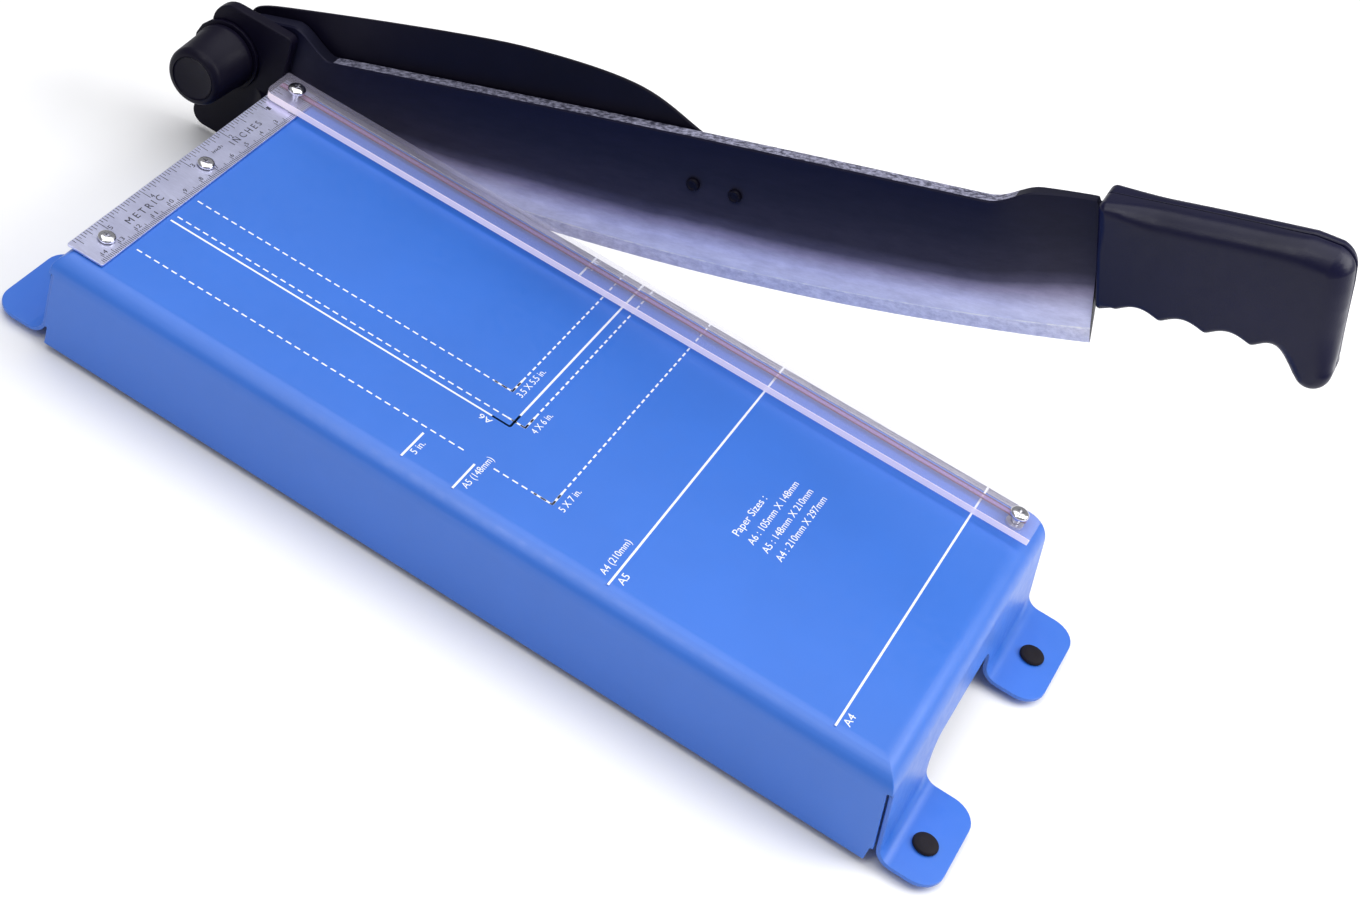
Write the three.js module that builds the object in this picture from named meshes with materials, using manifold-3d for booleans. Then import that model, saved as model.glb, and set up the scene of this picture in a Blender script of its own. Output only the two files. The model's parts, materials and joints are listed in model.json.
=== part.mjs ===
// A guillotine paper trimmer: a folded steel table with a ruler fence and a clear
// paper guard, and a long curved blade that swings down past a bed knife.
//
// Design frame, in millimetres: X = 0 is the shear plane (the outer face of the bed
// knife) and the table lies on its -X side. Y = 0 is the paper fence, +Y runs back to
// the hinge and -Y forward to the handle. Z = 0 is the table's top face. The last lines
// move the whole model so that its origin is the bottom centre of its box.
import * as THREE from "three";
import { mergeVertices } from "three/addons/utils/BufferGeometryUtils.js";
import Module from "manifold-3d";

const wasm = await Module();
wasm.setup();

// ---------- driving dimensions ----------
const GAP = 0.3; // clearance between pieces that touch
const SEGMENTS = 18; // facets round a turned piece
const SCREW_SEGMENTS = 14; // facets round a small screw or rivet
const CAP_SEGMENTS = 36;

// table
const SHEET = 1.6; // sheet steel thickness
const TABLE_LEFT = -152;
const TABLE_BACK = 16;
const TABLE_HEIGHT = 40; // top face to the underside of the foot tabs
const LEFT_BEND = 9; // outside radii of the folds
const FRONT_BEND = 10;
const BACK_BEND = 6;
const FRONT_FLAT_END = -314.4; // where the flat top ends and the front fold starts
const FRONT_LEAN = 12; // degrees the front wall leans outwards
const FRONT_TAB_END = -352;
const BACK_TAB_END = 38.5;
const TAB_BEND = 6;
const TAB_CORNER = 9.5;
const TAB_LEFT = [-150, -107]; // X span of the two left-hand tabs
const TAB_FRONT_RIGHT = [-47, 0];
const TAB_BACK_RIGHT = [-50, -6.2];
const WINDOW_TOP = -23; // top of the cut-outs between the tabs
const CORNER_SLOT_TOP = -8; // top of the open slots at the left-hand corners
const CORNER_SLOT_REACH = 0.5; // how far a corner slot reaches into the left wall
const WINDOW_CORNER = 9;

// bed knife and the wall that carries it
const KNIFE = { thick: 3, front: -312, back: 13.6, deep: 24 };
const KNIFE_SCREW_Y = [-290, -196, -102, -8];
const KNIFE_SCREW_Z = -13;
const KNIFE_SCREW = { shankR: 1.5, headR: 3.3, holeR: 1.85, sinkR: 4.25, neck: -1.9, tip: -9.8 };
const RIGHT_WALL_BOTTOM = -34;

// ruler and paper guard
const RULER = { left: -144, right: -3, front: 0, back: 15.6, thick: 0.9 };
const RULER_SCREWS = [[-131.5, 7.6], [-70.8, 7.2]];
const GUARD = { left: -19.8, right: -2.6, front: -319.6, back: 15.9, thick: 3, corner: 4 };
const GUARD_SCREWS = { rear: [-10.4, 7], front: [-10.6, -311.6] };
const SMALL_SCREW = { shankR: 1.5, holeR: 1.85, tip: -6 }; // holds the ruler and the guard

// feet
const FOOT_DROP = 3.2; // rubber below the tabs
const FOOT = { bottomR: 5.6, topR: 6.6, neckR: 2.7, plugR: 4.8, plugHeight: 1.9, holeR: 3 };
const FEET = {
  foot_front_left: [-133.3, -341.5],
  foot_front_right: [-24.7, -341.5],
  foot_rear_left: [-121, 28],
  foot_rear_right: [-28, 28],
};

// hinge
const PIVOT = [42.3, -0.8]; // Y and Z of the hinge axis
const BOLT_R = 4;
const BORE_R = 4.25;
const BRACKET = { left: -5.3, right: -0.3, top: 20.7, bottom: -39.7, back: 52.3 };
const FLANGE = { left: -42, top: -9, bottom: -31, thick: 5 };
const BRACKET_SCREW_X = [-16, -33];
const BRACKET_SCREW = { shankR: 2.5, headR: 4.6, headHeight: 2.6, holeR: 2.8, tip: 7 };
const BRACKET_FILLET = 6; // inside radius between the plate and the flange
const WASHER = { outerR: 9, seatR: 15, thick: 1.5 };
const BOLT_END = -28;
const CAP = { end: -30, open: -7.4, endR: 12.2, openR: 13.4, wall: 1.6, round: 2.6 };
const SPRING = { coilR: 7, wireR: 0.9, from: -17.2, to: -8.4, turns: 5 };

// arm: s is the distance from the hinge axis towards the handle, h the height square to it
const ARM_RAISED = 20; // degrees above the table at rest
const BLADE = { inner: 0.3, thick: 6, tip: 349.6, eyeR: 13.3, hollow: 2.2, land: 5.5, bevel: 7 };
const EDGE = { deepest: 216, depth: -53, bow: 0.00049, heel: 16 }; // the cutting edge
const SPINE = { hump: 1.2, stepFrom: 30.5, stepTo: 43, height: 2, crown: 0.9, span: 270, shoulder: 5 };
const TANG = { end: 418, thick: 3.6, shift: 8.2, top: 5, bottom: -18 };
const LEAF = { inner: 6.6, thick: 1.5, eyeR: 13.2 };
const LEAF_RIVETS = [[199, -17.2], [215.7, -18.3]];
const RIVET_HOLE_R = 2.5;
const BUSH_R = 6;
const HANDLE = {
  start: 350.5, end: 430, inner: 1, outer: 21, seam: 12.8, top: 8.3, round: 3,
  middle: [415, -12], // a point from which the whole outline is in sight
};
const GRIP = { start: 355, end: 411.5, ridge: 358, pitch: 15.5, ripple: 1.4, height: -29, slope: 0.02 };
const HANDLE_SCREWS = [[368, -7], [408, -9]];
const HANDLE_SCREW = {
  shankR: 2, headR: 3.9, holeR: 2.3, tangHoleR: 2.4, sinkR: 4.3, sinkFloor: 17.7, tip: 4,
};

// ---------- materials ----------
const material = (color, roughness, metalness, extra = {}) =>
  new THREE.MeshStandardMaterial({ color, roughness, metalness, ...extra });
const BLUE_PAINT = material(0x3f74c8, 0.45, 0.1);
const BLACK_PAINT = material(0x1b1b22, 0.5, 0.2);
const STEEL = material(0xb4b6c0, 0.35, 0.9);
const STAINLESS = material(0xc6c8d2, 0.3, 0.9);
const CLEAR = material(0xe8e6f6, 0.08, 0, { transparent: true, opacity: 0.4 });
const RUBBER = material(0x2a2526, 0.85, 0);
const PLASTIC = material(0x26262e, 0.6, 0);

// ---------- solids ----------
/** A closed three.js geometry as a Manifold solid, with its faces turned outwards. */
function solid(geometry) {
  const bare = new THREE.BufferGeometry();
  bare.setAttribute("position", geometry.getAttribute("position"));
  if (geometry.index) bare.setIndex(geometry.index);
  const merged = mergeVertices(bare, 1e-4);
  const vertices = merged.getAttribute("position").array;
  const source = merged.index.array;
  let triangles = [];
  for (let i = 0; i < source.length; i += 3) {
    const [a, b, c] = [source[i], source[i + 1], source[i + 2]];
    if (a !== b && b !== c && c !== a) triangles.push(a, b, c);
  }
  const build = () => new wasm.Manifold(new wasm.Mesh({
    numProp: 3,
    vertProperties: Float32Array.from(vertices),
    triVerts: Uint32Array.from(triangles),
  }));
  let made = build();
  if (made.volume() < 0) {
    triangles = triangles.reverse();
    made = build();
  }
  return made;
}

function geometryOf(manifold) {
  const mesh = manifold.getMesh();
  const geometry = new THREE.BufferGeometry();
  geometry.setAttribute("position", new THREE.BufferAttribute(mesh.vertProperties, 3));
  geometry.setIndex(new THREE.BufferAttribute(mesh.triVerts, 1));
  geometry.computeVertexNormals();
  return geometry;
}

const join = (first, ...others) => others.reduce((sum, part) => sum.add(part), first);
const cut = (first, ...others) => others.reduce((rest, part) => rest.subtract(part), first);

const shapeOf = (points) => new THREE.Shape(points.map(([a, b]) => new THREE.Vector2(a, b)));
const prism = (shape, depth, options = {}) =>
  new THREE.ExtrudeGeometry(shape, { depth, bevelEnabled: false, curveSegments: 6, ...options });

/** Outline in (y, z), extruded along X. */
function alongX(shape, x0, x1, options) {
  const turn = new THREE.Matrix4().set(0, 0, 1, x0, 1, 0, 0, 0, 0, 1, 0, 0, 0, 0, 0, 1);
  return solid(prism(shape, x1 - x0, options).applyMatrix4(turn));
}

/** Outline in (x, z), extruded along Y. */
function alongY(shape, y0, y1) {
  return solid(prism(shape, y1 - y0).rotateX(Math.PI / 2).translate(0, y1, 0));
}

/** Outline in (x, y), extruded along Z. */
const alongZ = (shape, z0, z1) => solid(prism(shape, z1 - z0).translate(0, 0, z0));

function box([x0, y0, z0], [x1, y1, z1]) {
  const geometry = new THREE.BoxGeometry(x1 - x0, y1 - y0, z1 - z0);
  return solid(geometry.translate((x0 + x1) / 2, (y0 + y1) / 2, (z0 + z1) / 2));
}

/** Turns a body made round the Y axis so that its axis is X or Z. */
const turns = {
  X: (geometry) => geometry.rotateZ(-Math.PI / 2),
  Y: (geometry) => geometry,
  Z: (geometry) => geometry.rotateX(Math.PI / 2),
};

/** Body of revolution round an axis; the profile is a list of [distance along, radius]. */
function turned(axis, profile, [x, y, z] = [0, 0, 0], facets = SEGMENTS) {
  const points = profile.map(([along, radius]) => new THREE.Vector2(radius, along));
  points.push(points[0].clone());
  return solid(turns[axis](new THREE.LatheGeometry(points, facets)).translate(x, y, z));
}

const rod = (axis, radius, from, to, at, facets) =>
  turned(axis, [[from, 0], [from, radius], [to, radius], [to, 0]], at, facets);
const washer = (axis, outer, bore, from, to, at) =>
  turned(axis, [[from, bore], [from, outer], [to, outer], [to, bore]], at);
const acrossFlats = (flats) => flats / 2 / Math.cos(Math.PI / 6);
const nut = (axis, flats, bore, from, to, at) =>
  cut(rod(axis, acrossFlats(flats), from, to, at, 6), rod(axis, bore, from - 1, to + 1, at));

/** Screw with a low domed head; the shank runs from `tip` to `under`, the head beyond it. */
function domedScrew(axis, shankR, headR, headHeight, tip, under, at) {
  const steps = 3;
  const direction = Math.sign(under - tip);
  const profile = [[tip, 0], [tip, shankR], [under, shankR], [under, headR]];
  for (let i = 1; i <= steps; i += 1) {
    const angle = (i / steps) * (Math.PI / 2);
    profile.push([
      under + direction * headHeight * (0.3 + 0.7 * Math.sin(angle)),
      i === steps ? 0 : headR * Math.cos(angle) ** 0.6,
    ]);
  }
  return turned(axis, profile, at, SCREW_SEGMENTS);
}

/** Solid lofted through sections, each the same number of points; every end is a fan. */
function loft(sections, middleOf = averageOf) {
  const count = sections[0].length;
  const position = sections.flat(2);
  const index = [];
  for (let ring = 0; ring + 1 < sections.length; ring += 1) {
    for (let i = 0; i < count; i += 1) {
      const [a, b] = [ring * count + i, ring * count + ((i + 1) % count)];
      index.push(a, b, a + count, b, b + count, a + count);
    }
  }
  for (const [ring, flip] of [[0, true], [sections.length - 1, false]]) {
    const middle = position.length / 3;
    position.push(...middleOf(sections[ring]));
    for (let i = 0; i < count; i += 1) {
      const [a, b] = [ring * count + i, ring * count + ((i + 1) % count)];
      index.push(...(flip ? [b, a, middle] : [a, b, middle]));
    }
  }
  const geometry = new THREE.BufferGeometry();
  geometry.setAttribute("position", new THREE.Float32BufferAttribute(position, 3));
  geometry.setIndex(index);
  return solid(geometry);
}

function averageOf(points) {
  const sum = points.reduce((total, point) => total.map((value, k) => value + point[k]));
  return sum.map((value) => value / points.length);
}

/** The outline moved inwards by a distance; it runs anticlockwise. */
function insetOutline(points, distance) {
  const at = (i) => new THREE.Vector2(...points[(i + points.length) % points.length]);
  return points.map((_, i) => {
    const before = at(i).sub(at(i - 1)).normalize();
    const after = at(i + 1).sub(at(i)).normalize();
    const inward = new THREE.Vector2(-before.y - after.y, before.x + after.x).normalize();
    const stretch = Math.max(inward.dot(new THREE.Vector2(-before.y, before.x)), 0.5);
    return at(i).addScaledVector(inward, distance / stretch).toArray();
  });
}

const radians = THREE.MathUtils.degToRad;
const smoothstep = (x, low, high) => THREE.MathUtils.smoothstep(x, low, high);

/** Points of an arc, angles in degrees from the first axis of its plane. */
function arc(centreA, centreB, radius, from, to, steps = 8) {
  return Array.from({ length: steps + 1 }, (_, i) => {
    const angle = radians(from + ((to - from) * i) / steps);
    return [centreA + radius * Math.cos(angle), centreB + radius * Math.sin(angle)];
  });
}

/** Rectangle with rounded corners; the radii run low-low, high-low, high-high, low-high. */
function roundedRectangle(a0, a1, b0, b1, radii) {
  const [r0, r1, r2, r3] = radii.map((radius) => Math.max(radius, 0.001));
  return shapeOf([
    ...arc(a0 + r0, b0 + r0, r0, 180, 270),
    ...arc(a1 - r1, b0 + r1, r1, 270, 360),
    ...arc(a1 - r2, b1 - r2, r2, 0, 90),
    ...arc(a0 + r3, b1 - r3, r3, 90, 180),
  ]);
}

// ---------- the scene graph ----------
const object = new THREE.Group();
const design = new THREE.Group(); // everything, in the design frame
const arm = new THREE.Group(); // the swinging arm, in its own frame
arm.position.set(0, ...PIVOT);
arm.rotation.x = -radians(ARM_RAISED);
design.add(arm);
object.add(design);

function piece(parent, name, manifold, look) {
  const mesh = new THREE.Mesh(geometryOf(manifold), look);
  mesh.name = name;
  parent.add(mesh);
}

// ---------- table ----------
const DEEP = 70; // farther down than any part of the table
const FAR = 400; // farther out than any part of the table

/** Cross-section of the table's envelope seen along Y, `inset` inside the outer faces. */
function envelopeAcross(inset) {
  const left = TABLE_LEFT + inset;
  const bend = LEFT_BEND - inset;
  const right = inset > 0 ? DEEP : 0; // the inner one runs out through the open right side
  return shapeOf([
    [left, -DEEP],
    ...arc(left + bend, -inset - bend, bend, 180, 90),
    [right, -inset],
    [right, -DEEP],
  ].reverse());
}

/** Front wall's outer face, Y at a height: it leans out as it goes down. */
function frontWallY(z, inset = 0) {
  const bend = FRONT_BEND - inset;
  const lean = radians(FRONT_LEAN);
  const startY = FRONT_FLAT_END - bend * Math.cos(lean);
  const startZ = -FRONT_BEND + bend * Math.sin(lean);
  return startY - (startZ - z) * Math.tan(lean);
}

/** Cross-section of the table's envelope seen along X. */
function envelopeAlong(inset) {
  const frontBend = FRONT_BEND - inset;
  const backBend = BACK_BEND - inset;
  return shapeOf([
    [frontWallY(-DEEP, inset), -DEEP],
    [TABLE_BACK - inset, -DEEP],
    ...arc(TABLE_BACK - BACK_BEND, -BACK_BEND, backBend, 0, 90),
    ...arc(FRONT_FLAT_END, -FRONT_BEND, frontBend, 90, 180 - FRONT_LEAN),
  ]);
}

/** Height at which a wall's outer face, leaning by so many degrees, meets its foot tab's bend. */
const bendTop = (lean) => -TABLE_HEIGHT + SHEET + TAB_BEND * (1 - Math.sin(radians(lean)));

/**
 * Foot tab folded outwards from the bottom of a wall, as a sheet profile in (y, z). The bend
 * leaves the wall smoothly at `wallY`, and the profile reaches a little way up the wall.
 */
function tabProfile(direction, wallY, tabEnd, lean) {
  const underside = -TABLE_HEIGHT;
  const [sine, cosine] = [Math.sin(radians(lean)), Math.cos(radians(lean))];
  const side = (angle) => (direction > 0 ? 180 + angle : -angle);
  const centre = [wallY + direction * TAB_BEND * cosine, underside + SHEET + TAB_BEND];
  const inner = arc(...centre, TAB_BEND, side(lean), side(90));
  const outer = arc(...centre, TAB_BEND + SHEET, side(90), side(lean));
  const upWall = ([y, z]) => [y - direction * SHEET * sine, z + SHEET * cosine];
  const profile = [
    upWall(inner[0]), ...inner, [tabEnd, underside + SHEET],
    [tabEnd, underside], ...outer, upWall(outer[outer.length - 1]),
  ];
  return shapeOf(direction > 0 ? profile : profile.reverse());
}

/** A tab with its two free corners rounded. */
function footTab([x0, x1], direction, wallY, tabEnd, lean) {
  const strip = alongX(tabProfile(direction, wallY, tabEnd, lean), x0, x1);
  const wide = TAB_CORNER * 3;
  const [inside, outside] = [tabEnd - direction * wide, tabEnd];
  const corners = direction > 0 ? [0, 0, TAB_CORNER, TAB_CORNER] : [TAB_CORNER, TAB_CORNER, 0, 0];
  const [y0, y1] = [Math.min(inside, outside), Math.max(inside, outside)];
  const keep = alongZ(roundedRectangle(x0, x1, y0, y1, corners), -DEEP, 0);
  const [k0, k1] = direction > 0 ? [-DEEP * 8, y0 + 0.01] : [y1 - 0.01, DEEP * 8];
  return strip.intersect(join(keep, box([x0 - 1, k0, -DEEP], [x1 + 1, k1, 0])));
}

const flangeMiddle = (FLANGE.top + FLANGE.bottom) / 2;

function makeTable() {
  const sweep = (inset) => {
    const span = inset > 0 ? DEEP : 1;
    return alongY(envelopeAcross(inset), -FAR, FAR).intersect(
      alongX(envelopeAlong(inset), TABLE_LEFT - span, inset > 0 ? FAR : 0),
    );
  };
  const walls = sweep(0).subtract(sweep(SHEET));
  const [frontBendTop, backBendTop] = [bendTop(FRONT_LEAN), bendTop(0)];
  const shell = walls.intersect(box([-FAR, -FAR, -TABLE_HEIGHT], [DEEP, FAR, 1]));
  const frontY = frontWallY(frontBendTop);

  // the notch beside the table top, and the wall inside it that the knife is screwed to
  const wallOuter = -KNIFE.thick - GAP;
  const notch = box([wallOuter, KNIFE.front - GAP, -DEEP], [DEEP, KNIFE.back + GAP, 1]);
  const rightWall = box(
    [wallOuter - SHEET, KNIFE.front - GAP, RIGHT_WALL_BOTTOM],
    [wallOuter, KNIFE.back, -SHEET / 2],
  );

  // cut-outs between the foot tabs, open slots at the left corners, and the walls' lower edges
  const windowCorners = [0, 0, WINDOW_CORNER, WINDOW_CORNER];
  const frontWindow = alongY(
    roundedRectangle(TAB_LEFT[1], TAB_FRONT_RIGHT[0], -DEEP, WINDOW_TOP, windowCorners),
    -FAR, FRONT_FLAT_END - SHEET * 2,
  );
  const backWindow = alongY(
    roundedRectangle(TAB_LEFT[1], TAB_BACK_RIGHT[0], -DEEP, WINDOW_TOP, windowCorners),
    TABLE_BACK - SHEET * 2, FAR,
  );
  const frontSlot = alongX(shapeOf([
    [frontWallY(-DEEP, SHEET) + CORNER_SLOT_REACH, -DEEP],
    [frontWallY(CORNER_SLOT_TOP, SHEET) + CORNER_SLOT_REACH, CORNER_SLOT_TOP],
    [-FAR, CORNER_SLOT_TOP],
    [-FAR, -DEEP],
  ].reverse()), TABLE_LEFT - 1, TAB_LEFT[0]);
  const backSlot = box(
    [TABLE_LEFT - 1, TABLE_BACK - SHEET - CORNER_SLOT_REACH, -DEEP],
    [TAB_LEFT[0], FAR, CORNER_SLOT_TOP],
  );
  const underTabs = [
    box([-FAR, -FAR, -DEEP], [DEEP, frontY + 2 * SHEET, frontBendTop]),
    box([-FAR, TABLE_BACK - 2 * SHEET, -DEEP], [DEEP, FAR, backBendTop]),
  ];

  const tabs = [
    footTab(TAB_LEFT, -1, frontY, FRONT_TAB_END, FRONT_LEAN),
    footTab(TAB_FRONT_RIGHT, -1, frontY, FRONT_TAB_END, FRONT_LEAN),
    footTab(TAB_LEFT, 1, TABLE_BACK, BACK_TAB_END, 0),
    footTab(TAB_BACK_RIGHT, 1, TABLE_BACK, BACK_TAB_END, 0),
  ];

  const topHoles = [...RULER_SCREWS, ...Object.values(GUARD_SCREWS)].map(([x, y]) =>
    rod("Z", SMALL_SCREW.holeR, -2 * SHEET, SHEET, [x, y, 0]));
  const footHoles = Object.values(FEET).map(([x, y]) =>
    rod("Z", FOOT.holeR, -SHEET, 2 * SHEET, [x, y, -TABLE_HEIGHT]));
  const knifeHoles = KNIFE_SCREW_Y.map((y) =>
    rod("X", KNIFE_SCREW.holeR, wallOuter - 2 * SHEET, 1, [0, y, KNIFE_SCREW_Z]));
  const bracketHoles = BRACKET_SCREW_X.map((x) =>
    rod("Y", BRACKET_SCREW.holeR, TABLE_BACK - 2 * SHEET, TABLE_BACK + SHEET, [x, 0, flangeMiddle]));
  const folded = join(cut(shell, notch, ...underTabs), ...tabs, rightWall);
  return cut(
    folded, frontWindow, backWindow, frontSlot, backSlot,
    ...topHoles, ...footHoles, ...knifeHoles, ...bracketHoles,
  );
}
piece(design, "base_body", makeTable(), BLUE_PAINT);

for (const [name, [x, y]] of Object.entries(FEET)) {
  const plugBottom = -TABLE_HEIGHT + SHEET + GAP;
  const foot = turned("Z", [
    [-TABLE_HEIGHT - FOOT_DROP, 0],
    [-TABLE_HEIGHT - FOOT_DROP, FOOT.bottomR],
    [-TABLE_HEIGHT - GAP, FOOT.topR],
    [-TABLE_HEIGHT - GAP, FOOT.neckR],
    [plugBottom, FOOT.neckR],
    [plugBottom, FOOT.plugR],
    [plugBottom + 0.55 * FOOT.plugHeight, FOOT.plugR - 0.1],
    [plugBottom + 0.9 * FOOT.plugHeight, 0.75 * FOOT.plugR],
    [plugBottom + FOOT.plugHeight, 0],
  ], [x, y, 0]);
  piece(design, name, foot, RUBBER);
}

// ---------- bed knife ----------
function makeKnife() {
  const bar = box([-KNIFE.thick, KNIFE.front, -KNIFE.deep], [0, KNIFE.back, 0]);
  const { holeR, sinkR, neck } = KNIFE_SCREW;
  const sinks = KNIFE_SCREW_Y.map((y) => turned("X", [
    [-KNIFE.thick - 1, 0], [-KNIFE.thick - 1, holeR], [neck, holeR], [0.5, sinkR], [0.5, 0],
  ], [0, y, KNIFE_SCREW_Z]));
  return cut(bar, ...sinks);
}
piece(design, "bed_knife", makeKnife(), STEEL);

KNIFE_SCREW_Y.forEach((y, i) => {
  const at = [0, y, KNIFE_SCREW_Z];
  const nutOuter = -KNIFE.thick - 2 * GAP - SHEET;
  const { shankR, headR, neck, tip } = KNIFE_SCREW;
  const profile = [[tip, 0], [tip, shankR], [neck, shankR], [-0.1, headR], [-0.1, 0]];
  const screw = turned("X", profile, at, SCREW_SEGMENTS);
  piece(design, `knife_screw_${i + 1}`, screw, STEEL);
  piece(design, `knife_nut_${i + 1}`, nut("X", 5.5, 1.75, nutOuter - 2.4, nutOuter, at), STEEL);
});

// ---------- ruler ----------
const rulerTop = GAP + RULER.thick;
const rulerHoles = [...RULER_SCREWS, GUARD_SCREWS.rear].map(([x, y]) =>
  rod("Z", SMALL_SCREW.holeR, -GAP, rulerTop + 1, [x, y, 0]));
const rulerBar = alongZ(
  roundedRectangle(RULER.left, RULER.right, RULER.front, RULER.back, [0.8, 0.8, 0.8, 0.8]),
  GAP, rulerTop,
);
piece(design, "ruler", cut(rulerBar, ...rulerHoles), STAINLESS);

/** Nut under the table top for a screw that comes down through it. */
const underNut = ([x, y]) => nut("Z", 5.5, 1.75, -SHEET - GAP - 2.4, -SHEET - GAP, [x, y, 0]);

RULER_SCREWS.forEach(([x, y], i) => {
  const { shankR, tip } = SMALL_SCREW;
  const screw = domedScrew("Z", shankR, 3.4, 1.7, tip, rulerTop + GAP, [x, y, 0]);
  piece(design, `ruler_screw_${i + 1}`, screw, STAINLESS);
  piece(design, `ruler_nut_${i + 1}`, underNut([x, y]), STEEL);
});

// ---------- paper guard ----------
const guardBottom = rulerTop + GAP;
const guardTop = guardBottom + GUARD.thick;
const guardHoles = Object.values(GUARD_SCREWS).map(([x, y]) =>
  rod("Z", SMALL_SCREW.holeR, 0, guardTop + 1, [x, y, 0]));
const guardStrip = alongZ(
  roundedRectangle(GUARD.left, GUARD.right, GUARD.front, GUARD.back, [0.6, 0.6, 0.6, GUARD.corner]),
  guardBottom, guardTop,
);
piece(design, "paper_guard", cut(guardStrip, ...guardHoles), CLEAR);
const [spacerX, spacerY] = GUARD_SCREWS.front;
piece(design, "guard_spacer", washer("Z", 3.4, 1.8, GAP, rulerTop, [spacerX, spacerY, 0]), STEEL);

for (const [place, [x, y]] of Object.entries(GUARD_SCREWS)) {
  const { shankR, tip } = SMALL_SCREW;
  const screw = domedScrew("Z", shankR, 3.6, 2, tip, guardTop + GAP, [x, y, 0]);
  piece(design, `guard_screw_${place}`, screw, STAINLESS);
  piece(design, `guard_nut_${place}`, underNut([x, y]), STEEL);
}

// ---------- hinge bracket ----------
const onAxis = [0, ...PIVOT];
const flangeFront = TABLE_BACK + GAP;
const flangeBack = flangeFront + FLANGE.thick;

function makeBracket() {
  const plate = alongX(
    roundedRectangle(flangeFront, BRACKET.back, BRACKET.bottom, BRACKET.top, [2, 6, 9.5, 3]),
    BRACKET.left, BRACKET.right,
  );
  const flange = alongY(
    roundedRectangle(FLANGE.left, BRACKET.left + 1, FLANGE.bottom, FLANGE.top, [5, 0, 0, 5]),
    flangeFront, flangeBack,
  );
  const cornerX = BRACKET.left - BRACKET_FILLET;
  const cornerY = flangeBack + BRACKET_FILLET;
  const web = cut(
    box(
      [cornerX, cornerY - BRACKET_FILLET - 1, FLANGE.bottom],
      [BRACKET.left + 1, cornerY, FLANGE.top],
    ),
    rod("Z", BRACKET_FILLET, -DEEP, 0, [cornerX, cornerY, 0], 24),
  );
  const screwHoles = BRACKET_SCREW_X.map((x) =>
    rod("Y", BRACKET_SCREW.holeR, flangeFront - 1, flangeBack + 1, [x, 0, flangeMiddle]));
  return cut(join(plate, flange, web), rod("X", BORE_R, -20, 10, onAxis), ...screwHoles);
}
piece(design, "hinge_bracket", makeBracket(), BLACK_PAINT);

BRACKET_SCREW_X.forEach((x, i) => {
  const at = [x, 0, flangeMiddle];
  const under = flangeBack + GAP;
  const inside = TABLE_BACK - SHEET - GAP;
  const { shankR, headR, headHeight, tip } = BRACKET_SCREW;
  const screw = domedScrew("Y", shankR, headR, headHeight, tip, under, at);
  piece(design, `bracket_screw_${i + 1}`, screw, BLACK_PAINT);
  piece(design, `bracket_nut_${i + 1}`, nut("Y", 8, 2.75, inside - 4, inside, at), STEEL);
});

// ---------- pivot ----------
const leafOuter = LEAF.inner + LEAF.thick;
const headWasherFrom = leafOuter + GAP;
const headFrom = headWasherFrom + WASHER.thick + GAP;
const bolt = join(
  rod("X", BOLT_R, BOLT_END, headFrom + 1, onAxis),
  rod("X", acrossFlats(13), headFrom, headFrom + 5.3, onAxis, 6),
);
piece(design, "pivot_bolt", bolt, STEEL);

/** Washer on the pivot bolt, from `from` outwards along X. */
const boltWasher = (outerR, from) => washer("X", outerR, BORE_R, from, from + WASHER.thick, onAxis);
const seatFrom = BRACKET.left - GAP - WASHER.thick;
const springWasherFrom = SPRING.from - SPRING.wireR - GAP - WASHER.thick;
piece(design, "head_washer", boltWasher(WASHER.outerR, headWasherFrom), STEEL);
piece(design, "seat_washer", boltWasher(WASHER.seatR, seatFrom), BLACK_PAINT);
piece(design, "spring_washer", boltWasher(WASHER.outerR, springWasherFrom), STEEL);
const nutFrom = springWasherFrom - GAP;
piece(design, "lock_nut", nut("X", 13, BORE_R, nutFrom - 6.5, nutFrom, onAxis), STEEL);

/** Centre line of the pivot's compression spring. */
class Helix extends THREE.Curve {
  getPoint(t, target = new THREE.Vector3()) {
    const angle = t * SPRING.turns * 2 * Math.PI;
    return target.set(
      SPRING.from + (SPRING.to - SPRING.from) * t,
      PIVOT[0] + SPRING.coilR * Math.cos(angle),
      PIVOT[1] + SPRING.coilR * Math.sin(angle),
    );
  }
}
const wire = shapeOf(arc(0, 0, SPRING.wireR, 0, 300, 5)); // a hexagon
const coil = prism(wire, 0, { steps: SPRING.turns * 12, extrudePath: new Helix() });
piece(design, "pressure_spring", solid(coil), STEEL);

function makeCap() {
  const { end, open, endR, openR, wall, round } = CAP;
  const rounding = arc(end + round, endR - round, round, 180, 90, 5);
  return turned("X", [
    [end, 0], ...rounding, [open, openR],
    [open, openR - wall], [end + wall, endR - wall], [end + wall, 0],
  ], onAxis, CAP_SEGMENTS);
}
piece(design, "spring_cap", makeCap(), PLASTIC);

// ---------- blade ----------
/** Half height of the round eye behind the hinge axis. */
const eyeHeight = (s) => Math.sqrt(Math.max(BLADE.eyeR ** 2 - s ** 2, 1));

/** Cutting edge: a heel that curves down from the eye, then one long shallow belly. */
function edgeHeight(s) {
  if (s < 0) return -eyeHeight(s);
  const belly = EDGE.depth + EDGE.bow * (s - EDGE.deepest) ** 2;
  const heel = Math.sqrt(1 - (1 - Math.min(s / EDGE.heel, 1)) ** 2);
  return -BLADE.eyeR + (belly + BLADE.eyeR) * heel;
}

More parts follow.
